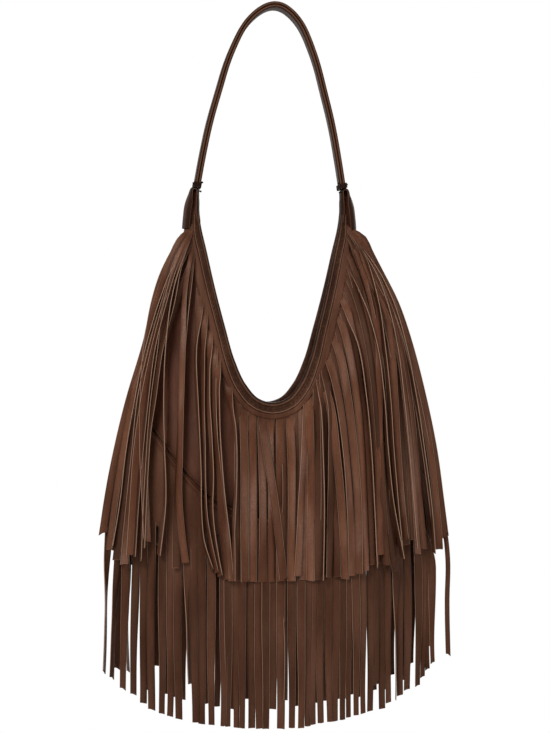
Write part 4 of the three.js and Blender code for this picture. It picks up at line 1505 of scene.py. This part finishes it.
def hang_lower_strip(pile, route, top_width, foot_width, slant, facing, chance):
    """Adds one strip of the lower fringe, turned where it is seen narrow. Returns its area."""
    across, drop, hung = route
    shares = stations(len(across))
    turned = 0.0
    width = mix(top_width, min(STRIP_WIDTH, foot_width * PHOTO_STEP), ease_in(shares, 0.42, 0.95))
    if foot_width < THIN_STRIP:
        turned = math.acos(foot_width * PHOTO_STEP / STRIP_WIDTH) * chance.choice((-1, 1))
        width = np.full(len(across), STRIP_WIDTH)
    turned = turned * ease_in(shares, 0.25, 0.7)
    wave = chance.uniform(2, 5)
    turned = turned + math.radians(10) * np.sin(shares * wave + chance.uniform(0, 6)) * shares
    layer = chance.uniform(0.0, 0.0024) * ease_in(shares, 0.06, 0.4)
    sway = 0.0008 * np.sin(shares * 4 + chance.uniform(0, 6)) * shares
    within = EASE + LEATHER / 2 + 0.00032 * ease_in(shares, 0.02, 0.06)
    lying = drape_stand(across, drop) + within
    stand = np.maximum(hung, mix(lying, 0, ease_in(shares, 0.1, 0.4))) + layer + sway
    bow = chance.uniform(-0.0008, 0.0008) * np.sin(shares * math.pi)
    across = across + bow + 0.0004 * np.sin(shares * 9 + chance.uniform(0, 6)) * shares
    path = points_at(across, drop, stand, facing)
    out = outward(drape_stand, across, drop, facing, 1 - 0.85 * ease_in(shares, 0.12, 0.5))
    foot = (slant + chance.uniform(-0.15, 0.15), chance.uniform(-0.1, 0.15))
    wrap = chance.uniform(-0.4, 0.6) * ease_in(shares, 0.08, 0.3) + 0.02
    # Painted shade: the lower strips are darker than the upper ones
    tone = mix(LOWER_SHADE_TONE, chance.uniform(0.0, 0.3), ease_in(shares, 0.06, 0.4))
    tone[-1] = CUT_END_TONE
    add_strip(pile, path, out, width, STRIP_LEATHER, turned, wrap, foot, tone)
    return width.mean() * path_length(path)


def add_uncut(pile, facing):
    """The uncut top of the lower fringe, folded along its seam. Returns its area."""
    along = np.linspace(0, 1, 150)[None]
    down = np.linspace(0, 1, 60)[:, None] ** 1.5
    side = 2 * along - 1
    across = side * mix(SEAM_REACH, CUT_REACH, down)
    drop = mix(seam_drop(along), cut_drop(along), down)
    below = drop - seam_drop(along)
    stand = drape_stand(across, drop) + EASE
    fold = through(SEAM_FOLD, below) * mix(0.3, 1, ease_in(np.abs(side), 0.2, 0.6))
    thinned = 0.0005 * (1 - ease_in(cut_drop(along) - drop, 0, 0.007))
    outer = points_at(across, drop, stand + LEATHER - thinned + fold, facing)
    inner = points_at(across, drop, stand + np.minimum(fold, 0), facing)
    # In the lower fringe's darker tone, painted shade
    add_sheet(pile, outer, inner, LOWER_SHADE_TONE)
    return UNCUT_AREA


def make_lower_fringe(leather):
    sides = (("fringe_lower_front", FRONT, LOWER_FRONT, STRAYS), ("fringe_lower_back", BACK, LOWER_BACK, ()))
    for name, facing, strips, strays in sides:
        chance = np.random.default_rng(SEED + 10 + facing)
        pile = Pile()
        area = add_uncut(pile, facing)
        for px, py, foot_width, lean in strips:
            route = lower_route(px, py, lean, facing)
            slant = -facing * HEM_SLANT * (route[0][-1] / SEAM_REACH) ** 3
            area += hang_lower_strip(pile, route, TOP_WIDTH, foot_width, slant, facing, chance)
        for foot_width, pixels in strays:
            route = stray_route(pixels, facing)
            top_width = foot_width * PHOTO_STEP
            area += hang_lower_strip(pile, route, top_width, foot_width, STRAY_SLANT, facing, chance)
        fringe = pile.make(name.replace("fringe_lower", "lower_fringe"), leather)
        dress(fringe, "fringe_leather", name)


def make_seam_stitches(thread):
    """A row of stitches in the groove under the seam's rolled edge, on both sides."""
    pile = Pile()
    along = np.linspace(0.01, 0.99, 100)
    seam = np.stack(((2 * along - 1) * SEAM_REACH, seam_drop(along) + SEAM_STITCH_DROP), 1)
    across, drop = Line(seam).at(np.linspace(0, 1, SEAM_STITCHES)).T
    stand = drape_stand(across, drop) + EASE + LEATHER - SEAM_STITCH_SUNK
    for facing in (FRONT, BACK):
        outs = outward(drape_stand, across, drop, facing)
        add_stitches(pile, points_at(across, drop, stand, facing), outs, SEAM_STITCH, THREAD)
    dress(pile.make("seam_stitches", thread), "thread")


# The room


def make_camera():
    camera = bpy.data.cameras.new("camera")
    camera.sensor_width = SENSOR
    camera.lens = SENSOR * DISTANCE / (PHOTO_HEIGHT * PHOTO_STEP)
    camera.clip_start = 0.05
    camera.clip_end = 50
    holder = bpy.data.objects.new("camera", camera)
    bpy.context.collection.objects.link(holder)
    holder.location = EYE
    holder.rotation_euler = Vector(VIEW).to_track_quat("-Z", "Y").to_euler()
    bpy.context.scene.camera = holder


def seen_directly(tree):
    """1 for what the camera, gloss or glass sees, 0 for the light on the object."""
    path = tree.nodes.new("ShaderNodeLightPath")
    total = path.outputs["Is Camera Ray"]
    for name in ("Is Glossy Ray", "Is Transmission Ray"):
        total = math_node(tree, "MAXIMUM", total, path.outputs[name])
    return total


FLOOR_DROP = 0.70
FLOOR_SIZE = 12
WORLD_LIGHT = 0.32
SHADOW_REACH = 0.6


def mixed_shader(tree, share, first, second):
    """Two shaders or backgrounds, mixed by a share."""
    chosen = tree.nodes.new("ShaderNodeMixShader")
    link(tree, share, chosen.inputs[0])
    link(tree, first.outputs[0], chosen.inputs[1])
    link(tree, second.outputs[0], chosen.inputs[2])
    return chosen.outputs[0]


def make_studio():
    """White all round for what is seen directly, and a softer light on the bag."""
    world = bpy.data.worlds.new("studio")
    bpy.context.scene.world = world
    world.use_nodes = True
    tree = world.node_tree
    around = tree.nodes["Background"]
    around.inputs["Color"].default_value = (1, 1, 1, 1)
    around.inputs["Strength"].default_value = WORLD_LIGHT
    white = node(tree, "ShaderNodeBackground", Color=(1, 1, 1, 1), Strength=1.0)
    surface = mixed_shader(tree, seen_directly(tree), around, white)
    link(tree, surface, tree.nodes["World Output"].inputs["Surface"])


def floor_finish():
    """Pale, with a soft shadow near the bag, and as white as the background further off."""
    material, tree, shader, place = fresh_material("pale_floor")
    shader.inputs["Base Color"].default_value = (0.9, 0.9, 0.9, 1)
    shader.inputs["Roughness"].default_value = 0.9
    glow = node(tree, "ShaderNodeEmission", Color=(1, 1, 1, 1), Strength=1.0)
    far = tree.nodes.new("ShaderNodeVectorMath")
    far.operation = "LENGTH"
    link(tree, place, far.inputs[0])
    fade = spread(tree, far.outputs["Value"], 0, SHADOW_REACH, 0.85, 1)
    share = math_node(tree, "MULTIPLY", fade, seen_directly(tree))
    surface = mixed_shader(tree, share, shader, glow)
    link(tree, surface, tree.nodes["Material Output"].inputs["Surface"])
    return material


def make_floor():
    bpy.ops.mesh.primitive_plane_add(size=FLOOR_SIZE, location=(0, 0, -FLOOR_DROP))
    floor = bpy.context.object
    floor.name = "floor"
    bpy.ops.object.transform_apply(location=True, rotation=True, scale=True)
    floor.data.materials.append(floor_finish())


# Each lamp's name, place, size and power, and the place that they all face
LAMPS = (
    ("key", (-1.3, -2.2, 1.3), 1.0, 60),
    ("fill", (1.8, -1.6, 0.3), 1.4, 14),
    ("back", (0.6, 2.3, 1.0), 1.4, 34),
)
LAMP_AIM = (0, 0, -0.35)


def make_lamps():
    aim = Vector(LAMP_AIM)
    for name, place, size, power in LAMPS:
        lamp = bpy.data.lights.new(name, "AREA")
        lamp.shape = "SQUARE"
        lamp.size = size
        lamp.energy = power
        holder = bpy.data.objects.new(name, lamp)
        bpy.context.collection.objects.link(holder)
        holder.location = place
        holder.rotation_euler = (aim - Vector(place)).to_track_quat("-Z", "Y").to_euler()


# Painted shade in the darker margins beside a strip's cut edges, where the gaps between strips fall in
# shadow
STRIP_SHADES = ((0.0, 0.5), (0.07, 0.55), (0.17, 1.0), (0.83, 1.0), (0.93, 0.55), (1.0, 0.5))
# The dark lines beside the strap's cut edges: painted shade in the groove where its two plies meet, and dark
# outlines on its outer bevels
STRAP_SHADES = (
    (0.0, 1.0), (0.008, 1.0), (0.022, 0.4), (0.1, 0.5), (0.2, 1.0), (0.8, 1.0), (0.9, 0.5),
    (0.978, 0.4), (0.992, 1.0), (1.0, 1.0),
)
# Painted shade across the binding from the mouth's edge outwards, darkest at its two edges and lower between
# its rolls, and painted highlights on its pale rolled lines
BINDING_SHADES = (
    (0.0, 0.3), (0.12, 0.4), (0.18, 0.9), (0.28, 0.8), (0.34, 0.6), (0.8, 0.7), (0.86, 1.0),
    (0.94, 0.9), (1.0, 0.2),
)
BINDING_HIGHLIGHT_LINES = ((0.1, 0.0), (0.19, 0.35), (0.28, 0.0), (0.84, 0.0), (0.89, 0.75), (0.93, 0.6), (0.98, 0.0))


def build():
    bpy.ops.object.select_all(action="DESELECT")
    bpy.context.scene.view_settings.view_transform = "Standard"
    make_camera()
    make_studio()
    make_floor()
    make_lamps()
    # The fringe's bands are painted shade, its sheen patches painted highlights, and its pale edges partly
    # painted highlights
    fringe = leather_finish(
        "fringe_leather", srgb(68, 38, 24), srgb(98, 63, 46), 0.4, 1100, gloss=0.1, edge=srgb(154, 122, 102),
        bands=STRIP_SHADES, sheen_strength=0.85)
    pouch = leather_finish("pouch_leather", srgb(60, 30, 19), srgb(90, 54, 39), 0.42, 1000, gloss=0.12)
    # The binding's bands are painted shade and its pale lines painted highlights
    bound = leather_finish(
        "binding_leather", srgb(44, 22, 12), srgb(90, 58, 43), 0.5, 900, gloss=0.08, edge=srgb(118, 88, 70),
        bands=BINDING_SHADES, lines=BINDING_HIGHLIGHT_LINES, mottle=0.4)
    strap = leather_finish(
        "strap_leather", srgb(42, 22, 12), srgb(72, 44, 31), 0.52, 1000, gloss=0.08, edge=srgb(90, 61, 46),
        edge_start=0.972, bands=STRAP_SHADES)
    thread = thread_finish("waxed_thread", srgb(34, 19, 13))
    make_strap(strap)
    make_strap_stitches(thread)
    make_tabs(strap)
    make_lashings(thread)
    make_pouch(pouch)
    make_lining(lining_finish())
    make_binding(bound)
    make_binding_stitches(thread)
    make_upper_fringe(fringe)
    make_lower_fringe(fringe)
    make_seam_stitches(thread)


build()
